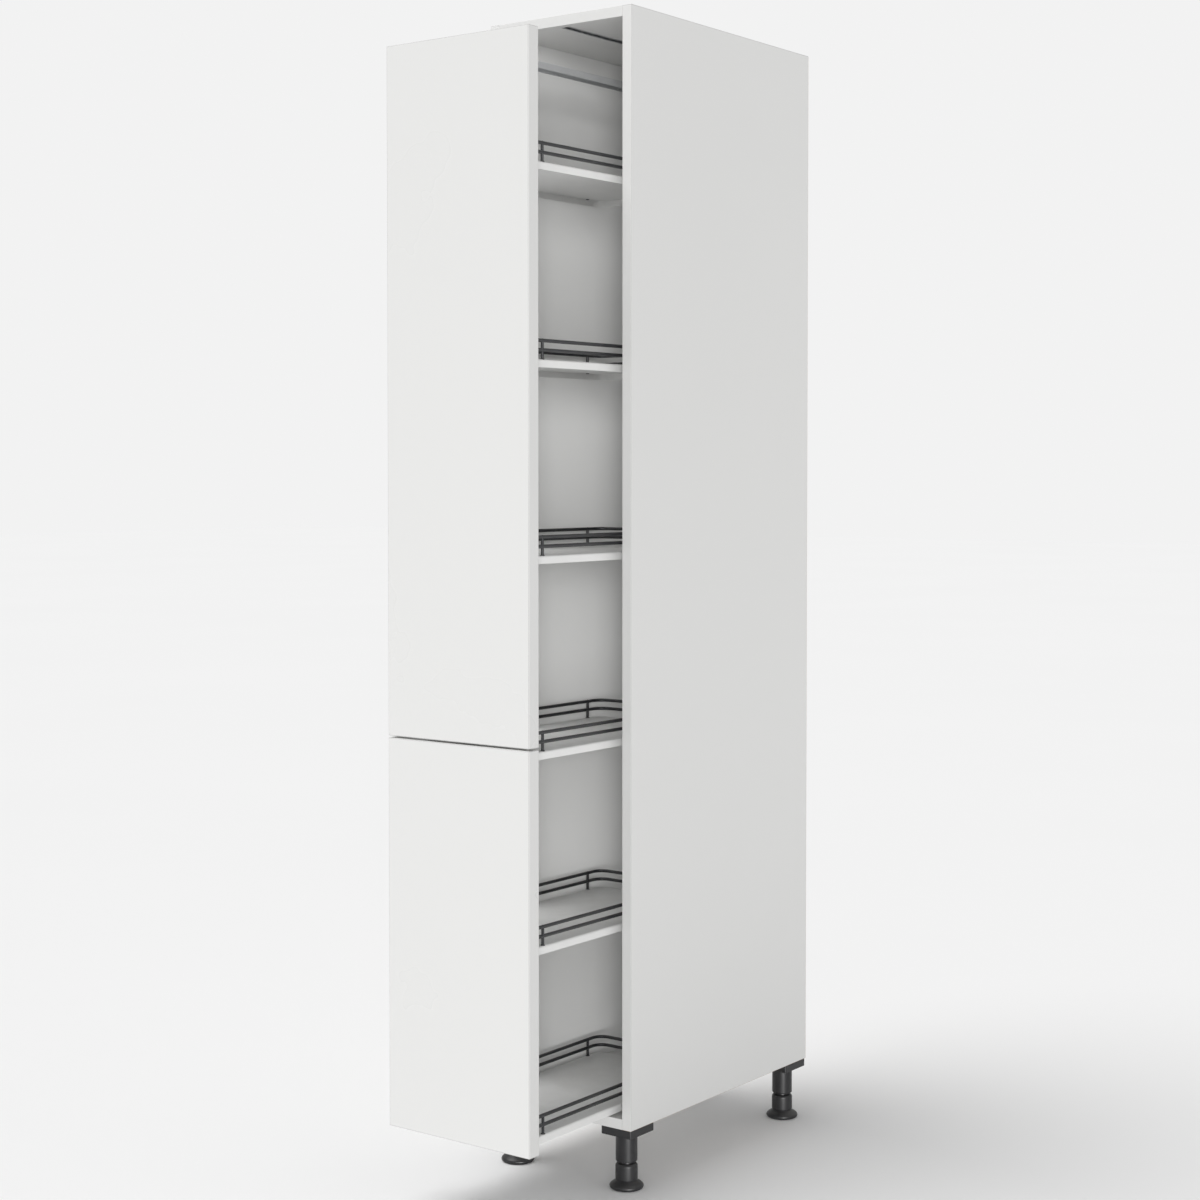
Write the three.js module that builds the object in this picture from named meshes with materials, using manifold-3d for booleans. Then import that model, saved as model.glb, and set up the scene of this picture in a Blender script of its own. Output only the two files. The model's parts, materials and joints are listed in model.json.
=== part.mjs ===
// Pull-out larder unit: a tall, narrow kitchen carcass on adjustable legs. Its
// two-part front, six trays with wire galleries and a steel frame slide out as
// one on a flat ball runner, and two rollers steer the frame in a rail at the top.
//
// Millimetres. +X is to the right, +Y goes into the cabinet, +Z is up. The origin
// is on the floor, under the middle of the unit as it stands in this pose.

import * as THREE from 'three';
import { mergeVertices } from 'three/addons/utils/BufferGeometryUtils.js';
import Module from 'manifold-3d';

// ---------------------------------------------------------------- driving sizes

// Gap between pieces that touch or slide on each other
const SEAT_GAP = 0.3;

// How far a cutting shape runs past the surface that it cuts
const CUT_PAST = 1;

// Facets: sides of turned bodies and wires, and steps on a round corner or race
const TURNED_SIDES = 14;
const SMALL_TURNED_SIDES = 8;
const BORE_SIDES = 10;
const WIRE_SIDES = 6;
const WIRE_CORNER_STEPS = 3;
const RACE_STEPS = 4;
const BALL_SIDES = 7;
const BALL_RINGS = 4;

// Carcass
const UNIT_WIDTH = 300;
const CARCASS_DEPTH = 560;
const CARCASS_HEIGHT = 1872;
const BOARD = 18;
const BACK_BOARD = 8;
const BACK_INSET = 12;
const GROOVE_DEPTH = 8;

// Legs
const LEG_HEIGHT = 108;
const LEG_INSET = 32;
const LEG_PLATE_FROM_EDGE = 1;
const LEG_PLATE_LENGTH = 68;
const LEG_PLATE_THICKNESS = 14;
const LEG_PLATE_CORNER = 3;
const LEG_SPIGOT_LENGTH = 9.5;
const LEG_SPIGOT_CHAMFER = 1;
const LEG_SPIGOT_CLEARANCE = 2;
const LEG_TUBE_DIAMETER = 38;
const LEG_TUBE_CHAMFER = 1.5;
const LEG_STEM_DIAMETER = 24;
const LEG_STEM_CLEARANCE = 8.5;
const FOOT_DIAMETER = 60;
const FOOT_THICKNESS = 14;
const FOOT_RIM_HEIGHT = 4;
const FOOT_RIM_UNDERCUT = 3;
const FOOT_SHOULDER_HEIGHT = 10;
const FOOT_SHOULDER_WIDTH = 4;
const COLLAR_HEIGHT = 29;
const COLLAR_GAP = 3;
const COLLAR_NECK = 1.5;
const COLLAR_CHAMFER_WIDTH = 2.8;
const COLLAR_CHAMFER_HEIGHT = 3.5;

// Front, in two parts, one above the other
const FRONT_SIDE_GAP = 2;
const FRONT_THICKNESS = 25;
const FRONT_BOTTOM = 23;
const FRONT_TOP_DROP = 77;
const FRONT_JOINT_HEIGHT = 668;
const FRONT_JOINT_GAP = 3;
const FRONT_EDGE_RADIUS = 1.5;
const FRONT_CLOSED_GAP = 2;

// How far the front is pulled out here
const PULLED_OUT = 241;

// Trays and galleries
const TRAY_COUNT = 6;
const TRAY_GRID_START = 28.5;
const TRAY_SIDE_GAP = 19;
const TRAY_BACK_GAP = 36;
const TRAY_HEADROOM = 176.5;
const TRAY_DEPTH = 13;
const TRAY_SHEET = 2;
const TRAY_CORNER_RADIUS = 25;
const WIRE_DIAMETER = 6;
const WIRE_INSET = 4;
const MID_RAIL_HEIGHT = 15;
const TOP_RAIL_HEIGHT = 30;
const STRUT_DIAMETER = 5;
const STRUT_FROM_END = 40;
const STRUT_BELOW_SHEET = 1;
const WIRE_JOINT_OVERLAP = 1;

// Hooks that hang a gallery in the uprights
const HOOK_PLATE_WIDTH = 40;
const HOOK_PLATE_THICKNESS = 3;
const HOOK_PLATE_DROP = 4;
const HOOK_WELD_DEPTH = 1;
const HOOK_SPACING = 24;
const HOOK_WIDTH = 3;
const HOOK_HEIGHT = 10;
const HOOK_DROP = 5;
const HOOK_REACH = 5;
const HOOK_TIP_CHAMFER = 1;
const HOOK_TOP_CHAMFER = 2;

// Sliding frame
const FRAME_SHEET = 1.5;
const FRONT_UPRIGHT_DEPTH = 14;
const REAR_UPRIGHT_DEPTH = 20;
const UPRIGHT_WIDTH = 50;
const UPRIGHT_LIP = 8;
const SLOT_PITCH = 32;
const SLOT_STEPS = 1;
const TOP_BAR_WIDTH = 24;
const TOP_BAR_HEIGHT = 12;
const TOP_BAR_CLEARANCE = 70;
const BOTTOM_BAR_WIDTH = 40;
const BOTTOM_BAR_THICKNESS = 2.5;

// Brackets between the front and the frame
const BRACKET_WIDTH = 92;
const BRACKET_HEIGHT = 70;
const BRACKET_SHEET = 2.4;
const BRACKET_CORNER = 6;
const BRACKET_EAR_SHEET = 1.8;
const BRACKET_EAR_DEPTH = 12;
const BRACKET_EAR_FROM_END = 6;
const BRACKET_EAR_CORNER = 3;
const BRACKET_SLOT_WIDTH = 6;
const BRACKET_SLOT_LENGTH = 36;
const BRACKET_FROM_END = 150;

// Bumpers on the back of the front
const BUMPER_DIAMETER = 10;
const BUMPER_CHAMFER = 1.2;
const BUMPER_FROM_SIDE = 9;
const BUMPER_FROM_END = 40;

// Flat ball runner
const RUNNER_START = 15;
const RUNNER_BACK_GAP = 25;
const RUNNER_SHEET = 1.2;
const RUNNER_HEIGHT = 12.7;
const RUNNER_HALF_WIDTH = 28;
const RUNNER_CLEARANCE = 3;
const RACE_SPAN = 36;
const BALL_RADIUS = 2.3;
const BALL_RISE = 0.55;
const BALL_COUNT = 3;
const CAGE_SHEET = 0.5;
const CAGE_LENGTH = 240;
const CAGE_EAR_SLOPE = 1.6;
const CAGE_EAR_STEP = 1.2;
const CAGE_EAR_BELOW_BALL = 2.7;
const CAGE_EAR_ABOVE_BALL = 2;

// Top guide
const GUIDE_WIDTH = 18;
const GUIDE_HEIGHT = 10.5;
const GUIDE_SHEET = 1.5;
const GUIDE_LIP = 3;
const GUIDE_START = 16;
const GUIDE_BACK_GAP = 4;
const GUIDE_ROLLER_HEIGHT = 5;
const GUIDE_ROLLER_CROWN = 0.6;
const GUIDE_ROLLER_CROWN_HEIGHT = 1.5;
const GUIDE_ROLLER_SPACING = 20;
const GUIDE_AXLE_DIAMETER = 5;
const GUIDE_AXLE_FROM_REAR = 9.2;
const GUIDE_AXLE_HEAD = 2;
const GUIDE_AXLE_CAP = 1.5;
const GUIDE_AXLE_CAP_HEIGHT = 1;
const GUIDE_BRACKET_WIDTH = 20;
const GUIDE_BRACKET_SHEET = 3;
const GUIDE_BRACKET_NOSE = 7;
const GUIDE_HEAD_GAP = 4;

// Finishes
const FINISH = {
  board: { color: 0xf2f1ec, roughness: 0.45, metalness: 0 },
  front: { color: 0xf4f3ef, roughness: 0.35, metalness: 0 },
  tray: { color: 0xeeeeea, roughness: 0.4, metalness: 0.1 },
  wire: { color: 0x2b2c2e, roughness: 0.35, metalness: 0.8 },
  frame: { color: 0xb9bbbd, roughness: 0.45, metalness: 0.6 },
  zinc: { color: 0xb8babd, roughness: 0.35, metalness: 0.9 },
  ball: { color: 0xd4d6d9, roughness: 0.15, metalness: 1 },
  black: { color: 0x17181a, roughness: 0.4, metalness: 0 },
  nylon: { color: 0xe6e4dc, roughness: 0.5, metalness: 0 },
  rubber: { color: 0xc9c9c6, roughness: 0.8, metalness: 0 },
};

// ---------------------------------------------------------------- worked-out sizes

const INNER_WIDTH = UNIT_WIDTH - 2 * BOARD;
const BACK_REAR_FACE = CARCASS_DEPTH - BACK_INSET;
const BACK_FRONT_FACE = BACK_REAR_FACE - BACK_BOARD;
const CEILING = CARCASS_HEIGHT - BOARD;
const FRONT_WIDTH = UNIT_WIDTH - 2 * FRONT_SIDE_GAP;
const FRONT_TOP = CARCASS_HEIGHT - FRONT_TOP_DROP;

// Heights on a leg, down from the carcass. The spigot takes half of the tube's wall.
const LEG_SPIGOT_BORE = (LEG_TUBE_DIAMETER + LEG_STEM_DIAMETER) / 4;
const LEG_SPIGOT_END = LEG_PLATE_THICKNESS + LEG_SPIGOT_LENGTH;
const LEG_TUBE_END = LEG_HEIGHT - FOOT_THICKNESS - COLLAR_HEIGHT - COLLAR_GAP;
const LEG_STEM_TOP = LEG_SPIGOT_END + LEG_STEM_CLEARANCE;

// The frame's own places are given for the closed unit
const FRONT_REAR_FACE = -FRONT_CLOSED_GAP;
const UPRIGHT_FRONT_FACE = FRONT_REAR_FACE + BRACKET_SHEET + 2 * SEAT_GAP;
const UPRIGHT_REAR_FACE = UPRIGHT_FRONT_FACE + FRONT_UPRIGHT_DEPTH;
const WIRE_EDGE = WIRE_INSET - WIRE_DIAMETER / 2;
const HOOK_PLATE_PROUD = HOOK_PLATE_THICKNESS - WIRE_EDGE - HOOK_WELD_DEPTH;
const TRAY_FRONT = UPRIGHT_REAR_FACE + SEAT_GAP + HOOK_PLATE_PROUD;
const TRAY_REAR = BACK_FRONT_FACE - TRAY_BACK_GAP;
const TRAY_LENGTH = TRAY_REAR - TRAY_FRONT;
const TRAY_WIDTH = INNER_WIDTH - 2 * TRAY_SIDE_GAP;
const REAR_UPRIGHT_FACE = TRAY_REAR + HOOK_PLATE_PROUD + SEAT_GAP;
const FRAME_REAR = REAR_UPRIGHT_FACE + REAR_UPRIGHT_DEPTH;

const RUNNER_LENGTH = BACK_FRONT_FACE - RUNNER_BACK_GAP - RUNNER_START;
const CAGE_START = RUNNER_START + (RUNNER_LENGTH - CAGE_LENGTH) / 2;
const GUIDE_END = BACK_FRONT_FACE - GUIDE_BACK_GAP;

const RUNNER_TOP = BOARD + SEAT_GAP + RUNNER_HEIGHT;
const BOTTOM_BAR_TOP = RUNNER_TOP + SEAT_GAP + BOTTOM_BAR_THICKNESS;
const UPRIGHT_BOTTOM = BOTTOM_BAR_TOP + SEAT_GAP;
const TOP_BAR_TOP = CEILING - TOP_BAR_CLEARANCE;
const TOP_BAR_BOTTOM = TOP_BAR_TOP - TOP_BAR_HEIGHT;
const UPRIGHT_TOP = TOP_BAR_BOTTOM - SEAT_GAP;
const LOWEST_TRAY = BOTTOM_BAR_TOP + SEAT_GAP + TRAY_SHEET;
const TRAY_PITCH = (TOP_BAR_BOTTOM - TRAY_HEADROOM - TRAY_GRID_START) / (TRAY_COUNT - 1);
const HOOK_BOTTOM = MID_RAIL_HEIGHT - HOOK_DROP;
const STRUT_X = TRAY_WIDTH / 2 - WIRE_INSET;

// Height of a tray's floor: on the grid, but clear of the runner and its bar
function trayLevel(index) {
  return Math.max(TRAY_GRID_START + TRAY_PITCH * index, LOWEST_TRAY);
}

// ---------------------------------------------------------------- solid helpers

const wasm = await Module();
wasm.setup();

function toSolid(geometry) {
  const bare = geometry.clone();
  bare.deleteAttribute('normal');
  bare.deleteAttribute('uv');
  const welded = mergeVertices(bare, 1e-4);
  return new wasm.Manifold(new wasm.Mesh({
    numProp: 3,
    vertProperties: new Float32Array(welded.attributes.position.array),
    triVerts: new Uint32Array(welded.index.array),
  }));
}

function toGeometry(solid) {
  const mesh = solid.getMesh();
  const geometry = new THREE.BufferGeometry();
  geometry.setAttribute('position', new THREE.BufferAttribute(new Float32Array(mesh.vertProperties), 3));
  geometry.setIndex(new THREE.BufferAttribute(new Uint32Array(mesh.triVerts), 1));
  geometry.computeVertexNormals();
  return geometry;
}

function cut(body, tools) {
  return toGeometry(tools.reduce((solid, tool) => solid.subtract(toSolid(tool)), toSolid(body)));
}

function join(pieces) {
  const [first, ...rest] = pieces;
  return toGeometry(rest.reduce((solid, piece) => solid.add(toSolid(piece)), toSolid(first)));
}

// A box given by the middle of its width, its front and its bottom
function box(width, depth, height, x = 0, y = 0, z = 0) {
  return new THREE.BoxGeometry(width, depth, height).translate(x, y + depth / 2, z + height / 2);
}

function prismAlongY(shape, length, curveSegments = 1) {
  const geometry = new THREE.ExtrudeGeometry(shape, { depth: length, bevelEnabled: false, curveSegments });
  return geometry.rotateX(Math.PI / 2).translate(0, length, 0);
}

function prismAlongX(shape, width, curveSegments = 1) {
  const geometry = new THREE.ExtrudeGeometry(shape, { depth: width, bevelEnabled: false, curveSegments });
  return geometry.rotateX(Math.PI / 2).rotateZ(Math.PI / 2).translate(-width / 2, 0, 0);
}

function prismUp(shape, height, curveSegments = 2) {
  return new THREE.ExtrudeGeometry(shape, { depth: height, bevelEnabled: false, curveSegments });
}

// An upright body of revolution from [radius, height] pairs that start and end on the axis
function turned(profile, sides = TURNED_SIDES) {
  const points = profile.map(([radius, height]) => new THREE.Vector2(radius, height));
  return new THREE.LatheGeometry(points, sides);
}

// Lathes turn about Y: this stands one up on the Z axis
function standing(geometry) {
  return geometry.rotateX(Math.PI / 2);
}

function roundedRectangle(width, length, radius) {
  const x = width / 2;
  const y = length / 2;
  const shape = new THREE.Shape();
  shape.absarc(x - radius, y - radius, radius, 0, Math.PI / 2);
  shape.absarc(-x + radius, y - radius, radius, Math.PI / 2, Math.PI);
  shape.absarc(-x + radius, -y + radius, radius, Math.PI, 1.5 * Math.PI);
  shape.absarc(x - radius, -y + radius, radius, 1.5 * Math.PI, 2 * Math.PI);
  shape.closePath();
  return shape;
}

// The least straight stretch keeps the two arcs of a round end from meeting in one point
function slotShape(width, length) {
  const leastStraight = 0.02;
  return roundedRectangle(width, length, (width - leastStraight) / 2);
}

function arcPoints(x, y, radius, fromDegrees, toDegrees, steps) {
  return Array.from({ length: steps + 1 }, (_, step) => {
    const angle = THREE.MathUtils.degToRad(fromDegrees + (toDegrees - fromDegrees) * step / steps);
    return new THREE.Vector2(x + radius * Math.cos(angle), y + radius * Math.sin(angle));
  });
}

// Outline of a sheet of even thickness bent along a middle line
function bentSheet(line, thickness) {
  const left = [];
  const right = [];
  line.forEach((point, index) => {
    const before = index > 0 ? point.clone().sub(line[index - 1]).normalize() : null;
    const after = index < line.length - 1 ? line[index + 1].clone().sub(point).normalize() : null;
    const way = (before ?? after).clone().add(after ?? before).normalize();
    const reach = thickness / 2 / way.dot(after ?? before);
    const side = new THREE.Vector2(-way.y, way.x).multiplyScalar(reach);
    left.push(point.clone().add(side));
    right.unshift(point.clone().sub(side));
  });
  return new THREE.Shape([...left, ...right]);
}

// A section that is the same on both sides of the middle, from its right half
function mirroredLine(rightHalf) {
  const leftHalf = rightHalf.map((point) => new THREE.Vector2(-point.x, point.y)).reverse();
  return [...leftHalf, ...rightHalf];
}

// A path through given points, with one ring of the tube at each of them
class BentPath extends THREE.Curve {
  constructor(points) {
    super();
    this.points = points;
  }

  getPoint(t, target = new THREE.Vector3()) {
    const place = t * (this.points.length - 1);
    const index = Math.min(Math.floor(place + 1e-9), this.points.length - 2);
    return target.copy(this.points[index]).lerp(this.points[index + 1], place - index);
  }

  getPointAt(u, target) {
    return this.getPoint(u, target);
  }

  getTangentAt(u, target = new THREE.Vector3()) {
    const last = this.points.length - 1;
    const index = Math.round(u * last);
    const here = this.points[index];
    const before = index > 0 ? here.clone().sub(this.points[index - 1]).normalize() : null;
    const after = index < last ? this.points[index + 1].clone().sub(here).normalize() : null;
    return target.copy((before ?? after).clone().add(after ?? before)).normalize();
  }
}

function wireAlong(points, diameter) {
  const section = new THREE.Shape().absarc(0, 0, diameter / 2, 0, 2 * Math.PI);
  return new THREE.ExtrudeGeometry(section, {
    steps: points.length - 1,
    curveSegments: WIRE_SIDES / 2,
    extrudePath: new BentPath(points),
  });
}

function part(name, geometry, finish, x = 0, y = 0, z = 0) {
  const mesh = new THREE.Mesh(geometry, new THREE.MeshStandardMaterial(FINISH[finish]));
  mesh.name = name;
  mesh.position.set(x, y, z);
  return mesh;
}

// ---------------------------------------------------------------- carcass

// Side panel, with the groove for the back board in its inner face
function sidePanelGeometry(side) {
  const panel = box(BOARD, CARCASS_DEPTH, CARCASS_HEIGHT);
  const groove = box(
    2 * (GROOVE_DEPTH + SEAT_GAP), BACK_BOARD + 2 * SEAT_GAP, CARCASS_HEIGHT + 2 * CUT_PAST,
    -side * BOARD / 2, BACK_FRONT_FACE - SEAT_GAP, -CUT_PAST,
  );
  return cut(panel, [groove]);
}

// Groove for the back board in a panel that spans the sides
function crossGroove(z) {
  return box(
    UNIT_WIDTH, BACK_BOARD + 2 * SEAT_GAP, GROOVE_DEPTH + SEAT_GAP,
    0, BACK_FRONT_FACE - SEAT_GAP, z,
  );
}

function bottomPanelGeometry() {
  const panel = box(INNER_WIDTH - 2 * SEAT_GAP, CARCASS_DEPTH, BOARD);
  return cut(panel, [crossGroove(BOARD - GROOVE_DEPTH - SEAT_GAP)]);
}

// The top guide is let into the underside of this panel, and stops short of its front edge
function topPanelGeometry() {
  const panel = box(INNER_WIDTH - 2 * SEAT_GAP, CARCASS_DEPTH, BOARD);
  const guideRecess = box(
    GUIDE_WIDTH + 2 * SEAT_GAP,
    GUIDE_END - GUIDE_START + 2 * SEAT_GAP,
    GUIDE_HEIGHT + SEAT_GAP + CUT_PAST,
    0, GUIDE_START - SEAT_GAP, -CUT_PAST,
  );
  return cut(panel, [crossGroove(0), guideRecess]);
}

function backPanelGeometry() {
  const height = CARCASS_HEIGHT - 2 * BOARD + 2 * GROOVE_DEPTH;
  return box(INNER_WIDTH + 2 * GROOVE_DEPTH, BACK_BOARD, height);
}

function carcass() {
  const group = new THREE.Group();
  const sideX = (UNIT_WIDTH - BOARD) / 2;
  group.add(
    part('side_panel_left', sidePanelGeometry(-1), 'board', -sideX),
    part('side_panel_right', sidePanelGeometry(1), 'board', sideX),
    part('bottom_panel', bottomPanelGeometry(), 'board'),
    part('top_panel', topPanelGeometry(), 'board', 0, 0, CEILING),
    part('back_panel', backPanelGeometry(), 'board', 0, BACK_FRONT_FACE, BOARD - GROOVE_DEPTH),
  );
  return group;
}

// ---------------------------------------------------------------- legs

// Socket: a plate that is longer towards the middle of the carcass, and a spigot that the
// tube is pushed on to
function legSocketGeometry(inwards) {
  const reach = LEG_INSET - LEG_PLATE_FROM_EDGE;
  const outline = roundedRectangle(2 * reach, LEG_PLATE_LENGTH, LEG_PLATE_CORNER);
  const plate = prismUp(outline, LEG_PLATE_THICKNESS - SEAT_GAP, 1)
    .translate(0, inwards * (LEG_PLATE_LENGTH / 2 - reach), -LEG_PLATE_THICKNESS);
  const radius = LEG_SPIGOT_BORE - SEAT_GAP;
  const root = -LEG_PLATE_THICKNESS / 2;
  const spigot = standing(turned([
    [0, -LEG_SPIGOT_END], [radius - LEG_SPIGOT_CHAMFER, -LEG_SPIGOT_END],
    [radius, -LEG_SPIGOT_END + LEG_SPIGOT_CHAMFER], [radius, root], [0, root],
  ]));
  return join([plate, spigot]);
}

// Tube: pushed over the spigot at its top, and bored for the foot's stem below
function legTubeGeometry() {
  const outer = LEG_TUBE_DIAMETER / 2;
  const top = -LEG_PLATE_THICKNESS - SEAT_GAP;
  const stemBore = LEG_STEM_DIAMETER / 2 + SEAT_GAP;
  const shoulder = -LEG_SPIGOT_END - LEG_SPIGOT_CLEARANCE;
  return standing(turned([
    [stemBore, -LEG_TUBE_END], [outer - LEG_TUBE_CHAMFER, -LEG_TUBE_END],
    [outer, -LEG_TUBE_END + LEG_TUBE_CHAMFER], [outer, top], [LEG_SPIGOT_BORE, top],
    [LEG_SPIGOT_BORE, shoulder], [stemBore, shoulder], [stemBore, -LEG_TUBE_END],
  ]));
}

// Foot: a round pad, a collar to turn it by, and the stem that screws into the tube
function legFootGeometry() {
  const bottom = -LEG_HEIGHT;
  const padTop = bottom + FOOT_THICKNESS;
  const pad = FOOT_DIAMETER / 2;
  const collar = LEG_TUBE_DIAMETER / 2;
  const collarTop = padTop + COLLAR_HEIGHT;
  const stem = LEG_STEM_DIAMETER / 2;
  return standing(turned([
    [0, bottom], [pad - FOOT_RIM_UNDERCUT, bottom], [pad, bottom + FOOT_RIM_HEIGHT],
    [pad - FOOT_SHOULDER_WIDTH, bottom + FOOT_SHOULDER_HEIGHT],
    [collar - COLLAR_NECK, padTop], [collar, padTop + COLLAR_NECK],
    [collar, collarTop - COLLAR_CHAMFER_HEIGHT], [collar - COLLAR_CHAMFER_WIDTH, collarTop],
    [stem, collarTop], [stem, -LEG_STEM_TOP], [0, -LEG_STEM_TOP],
  ]));
}

function legs() {
  const group = new THREE.Group();
  const x = UNIT_WIDTH / 2 - LEG_INSET;
  const corners = {
    front_left: [-x, LEG_INSET],
    front_right: [x, LEG_INSET],
    rear_left: [-x, CARCASS_DEPTH - LEG_INSET],
    rear_right: [x, CARCASS_DEPTH - LEG_INSET],
  };
  for (const [corner, [legX, legY]] of Object.entries(corners)) {
    const inwards = Math.sign(CARCASS_DEPTH / 2 - legY);
    group.add(
      part(`leg_socket_${corner}`, legSocketGeometry(inwards), 'black', legX, legY),
      part(`leg_tube_${corner}`, legTubeGeometry(), 'black', legX, legY),
      part(`leg_foot_${corner}`, legFootGeometry(), 'black', legX, legY),
    );
  }
  return group;
}

// ---------------------------------------------------------------- flat ball runner

const BALL_HEIGHT = RUNNER_HEIGHT / 2 + BALL_RISE;
const RACE_RADIUS = BALL_RADIUS + SEAT_GAP;
const RACE_LINE = RACE_RADIUS + RUNNER_SHEET / 2;
const OUTER_BALL_X = RUNNER_HALF_WIDTH - RACE_RADIUS - RUNNER_SHEET;
const INNER_BALL_X = OUTER_BALL_X - 2 * RACE_RADIUS - RUNNER_SHEET;
const OUTER_CAGE_HEIGHT = RUNNER_SHEET + SEAT_GAP + CAGE_SHEET / 2;
const MIDDLE_WEB_HEIGHT = OUTER_CAGE_HEIGHT + CAGE_SHEET / 2 + SEAT_GAP + RUNNER_SHEET / 2;
const INNER_CAGE_HEIGHT = MIDDLE_WEB_HEIGHT + RUNNER_SHEET / 2 + SEAT_GAP + CAGE_SHEET / 2;

function runnerMember(rightHalf) {
  return prismAlongY(bentSheet(mirroredLine(rightHalf), RUNNER_SHEET), RUNNER_LENGTH);
}

// Outer member: a web on the bottom panel, and a race curled up on each side of it
function runnerOuterGeometry() {
  const web = RUNNER_SHEET / 2;
  const race = arcPoints(OUTER_BALL_X, BALL_HEIGHT, RACE_LINE, -RACE_SPAN, RACE_SPAN, RACE_STEPS);
  const slope = Math.tan(THREE.MathUtils.degToRad(RACE_SPAN));
  const foot = new THREE.Vector2(race[0].x - (race[0].y - web) * slope, web);
  return runnerMember([foot, ...race]);
}

// Middle member: inside the outer balls, with its walls curved round them
function runnerMiddleGeometry() {
  const race = arcPoints(
    OUTER_BALL_X, BALL_HEIGHT, RACE_LINE, 180 + RACE_SPAN / 2, 180 - RACE_SPAN, RACE_STEPS,
  );
  const foot = new THREE.Vector2(race[0].x - RUNNER_SHEET, MIDDLE_WEB_HEIGHT);
  return runnerMember([foot, ...race]);
}

// Inner member: a hat section that carries the frame on its top
function runnerInnerGeometry() {
  const race = arcPoints(
    INNER_BALL_X, BALL_HEIGHT, RACE_LINE, 180 - RACE_SPAN, 180 + RACE_SPAN, RACE_STEPS,
  );
  const shoulder = new THREE.Vector2(race[0].x - RUNNER_SHEET, RUNNER_HEIGHT - RUNNER_SHEET / 2);
  return runnerMember([shoulder, ...race]);
}

// Ball cage: a strip with an ear along each row, and the balls held in the ears
function ballCageGeometry(ballX, height) {
  const rightHalf = [
    new THREE.Vector2(ballX - CAGE_EAR_SLOPE, height),
    new THREE.Vector2(ballX, Math.max(height + CAGE_EAR_STEP, BALL_HEIGHT - CAGE_EAR_BELOW_BALL)),
    new THREE.Vector2(ballX, BALL_HEIGHT + CAGE_EAR_ABOVE_BALL),
  ];
  const strip = prismAlongY(bentSheet(mirroredLine(rightHalf), CAGE_SHEET), CAGE_LENGTH);
  const balls = [];
  for (let row = 0; row < BALL_COUNT; row += 1) {
    const y = CAGE_LENGTH * (row + 0.5) / BALL_COUNT;
    for (const side of [-1, 1]) {
      const ball = new THREE.SphereGeometry(BALL_RADIUS, BALL_SIDES, BALL_RINGS);
      balls.push(ball.translate(side * ballX, y, BALL_HEIGHT));
    }
  }
  return join([strip, ...balls]);
}

function runner() {
  const group = new THREE.Group();
  const z = BOARD + SEAT_GAP;
  group.add(
    part('runner_outer', runnerOuterGeometry(), 'zinc', 0, RUNNER_START, z),
    part('ball_cage_outer', ballCageGeometry(OUTER_BALL_X, OUTER_CAGE_HEIGHT), 'ball',
      0, CAGE_START - PULLED_OUT / 4, z),
    part('runner_middle', runnerMiddleGeometry(), 'zinc', 0, RUNNER_START - PULLED_OUT / 2, z),
    part('ball_cage_inner', ballCageGeometry(INNER_BALL_X, INNER_CAGE_HEIGHT), 'ball',
      0, CAGE_START - PULLED_OUT * 3 / 4, z),
    part('runner_inner', runnerInnerGeometry(), 'zinc', 0, RUNNER_START - PULLED_OUT, z),
  );
  return group;
}

// ---------------------------------------------------------------- top guide

// Rail: a lipped channel, open downwards
function guideRailGeometry() {
  const half = (GUIDE_WIDTH - GUIDE_SHEET) / 2;
  const low = GUIDE_SHEET / 2;
  const high = GUIDE_HEIGHT - GUIDE_SHEET / 2;
  const rightHalf = [
    new THREE.Vector2(half, high),
    new THREE.Vector2(half, low),
    new THREE.Vector2(half - GUIDE_LIP, low),
  ];
  return prismAlongY(bentSheet(mirroredLine(rightHalf), GUIDE_SHEET), GUIDE_END - GUIDE_START);
}

const GUIDE_ROLLER_RADIUS = GUIDE_WIDTH / 2 - GUIDE_SHEET - SEAT_GAP;
const GUIDE_AXLE_BORE = GUIDE_AXLE_DIAMETER / 2 + SEAT_GAP;
const GUIDE_HEAD_TOP = CEILING - GUIDE_HEAD_GAP;
const GUIDE_ROLLER_BOTTOM = CEILING + GUIDE_SHEET + 2 * SEAT_GAP;

// Roller: a ring with a slightly crowned rim
function guideRollerGeometry() {
  const radius = GUIDE_ROLLER_RADIUS;
  const points = [
    [GUIDE_AXLE_BORE, 0], [radius - GUIDE_ROLLER_CROWN, 0],
    [radius, GUIDE_ROLLER_CROWN_HEIGHT], [radius, GUIDE_ROLLER_HEIGHT - GUIDE_ROLLER_CROWN_HEIGHT],
    [radius - GUIDE_ROLLER_CROWN, GUIDE_ROLLER_HEIGHT],
    [GUIDE_AXLE_BORE, GUIDE_ROLLER_HEIGHT], [GUIDE_AXLE_BORE, 0],
  ];
  return standing(turned(points));
}

// Axle: a pin with a flat head under the bracket and a domed one over the roller
function guideAxleGeometry() {
  const radius = GUIDE_AXLE_DIAMETER / 2;
  const plateBottom = GUIDE_HEAD_TOP - GUIDE_BRACKET_SHEET - SEAT_GAP;
  const rollerTop = GUIDE_ROLLER_BOTTOM + GUIDE_ROLLER_HEIGHT + SEAT_GAP;
  const points = [
    [0, plateBottom - GUIDE_AXLE_HEAD], [radius + GUIDE_AXLE_HEAD, plateBottom - GUIDE_AXLE_HEAD],
    [radius + GUIDE_AXLE_HEAD, plateBottom], [radius, plateBottom], [radius, rollerTop],
    [radius + GUIDE_AXLE_CAP, rollerTop], [0, rollerTop + GUIDE_AXLE_CAP_HEIGHT],
  ];
  return standing(turned(points, SMALL_TURNED_SIDES));
}

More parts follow.
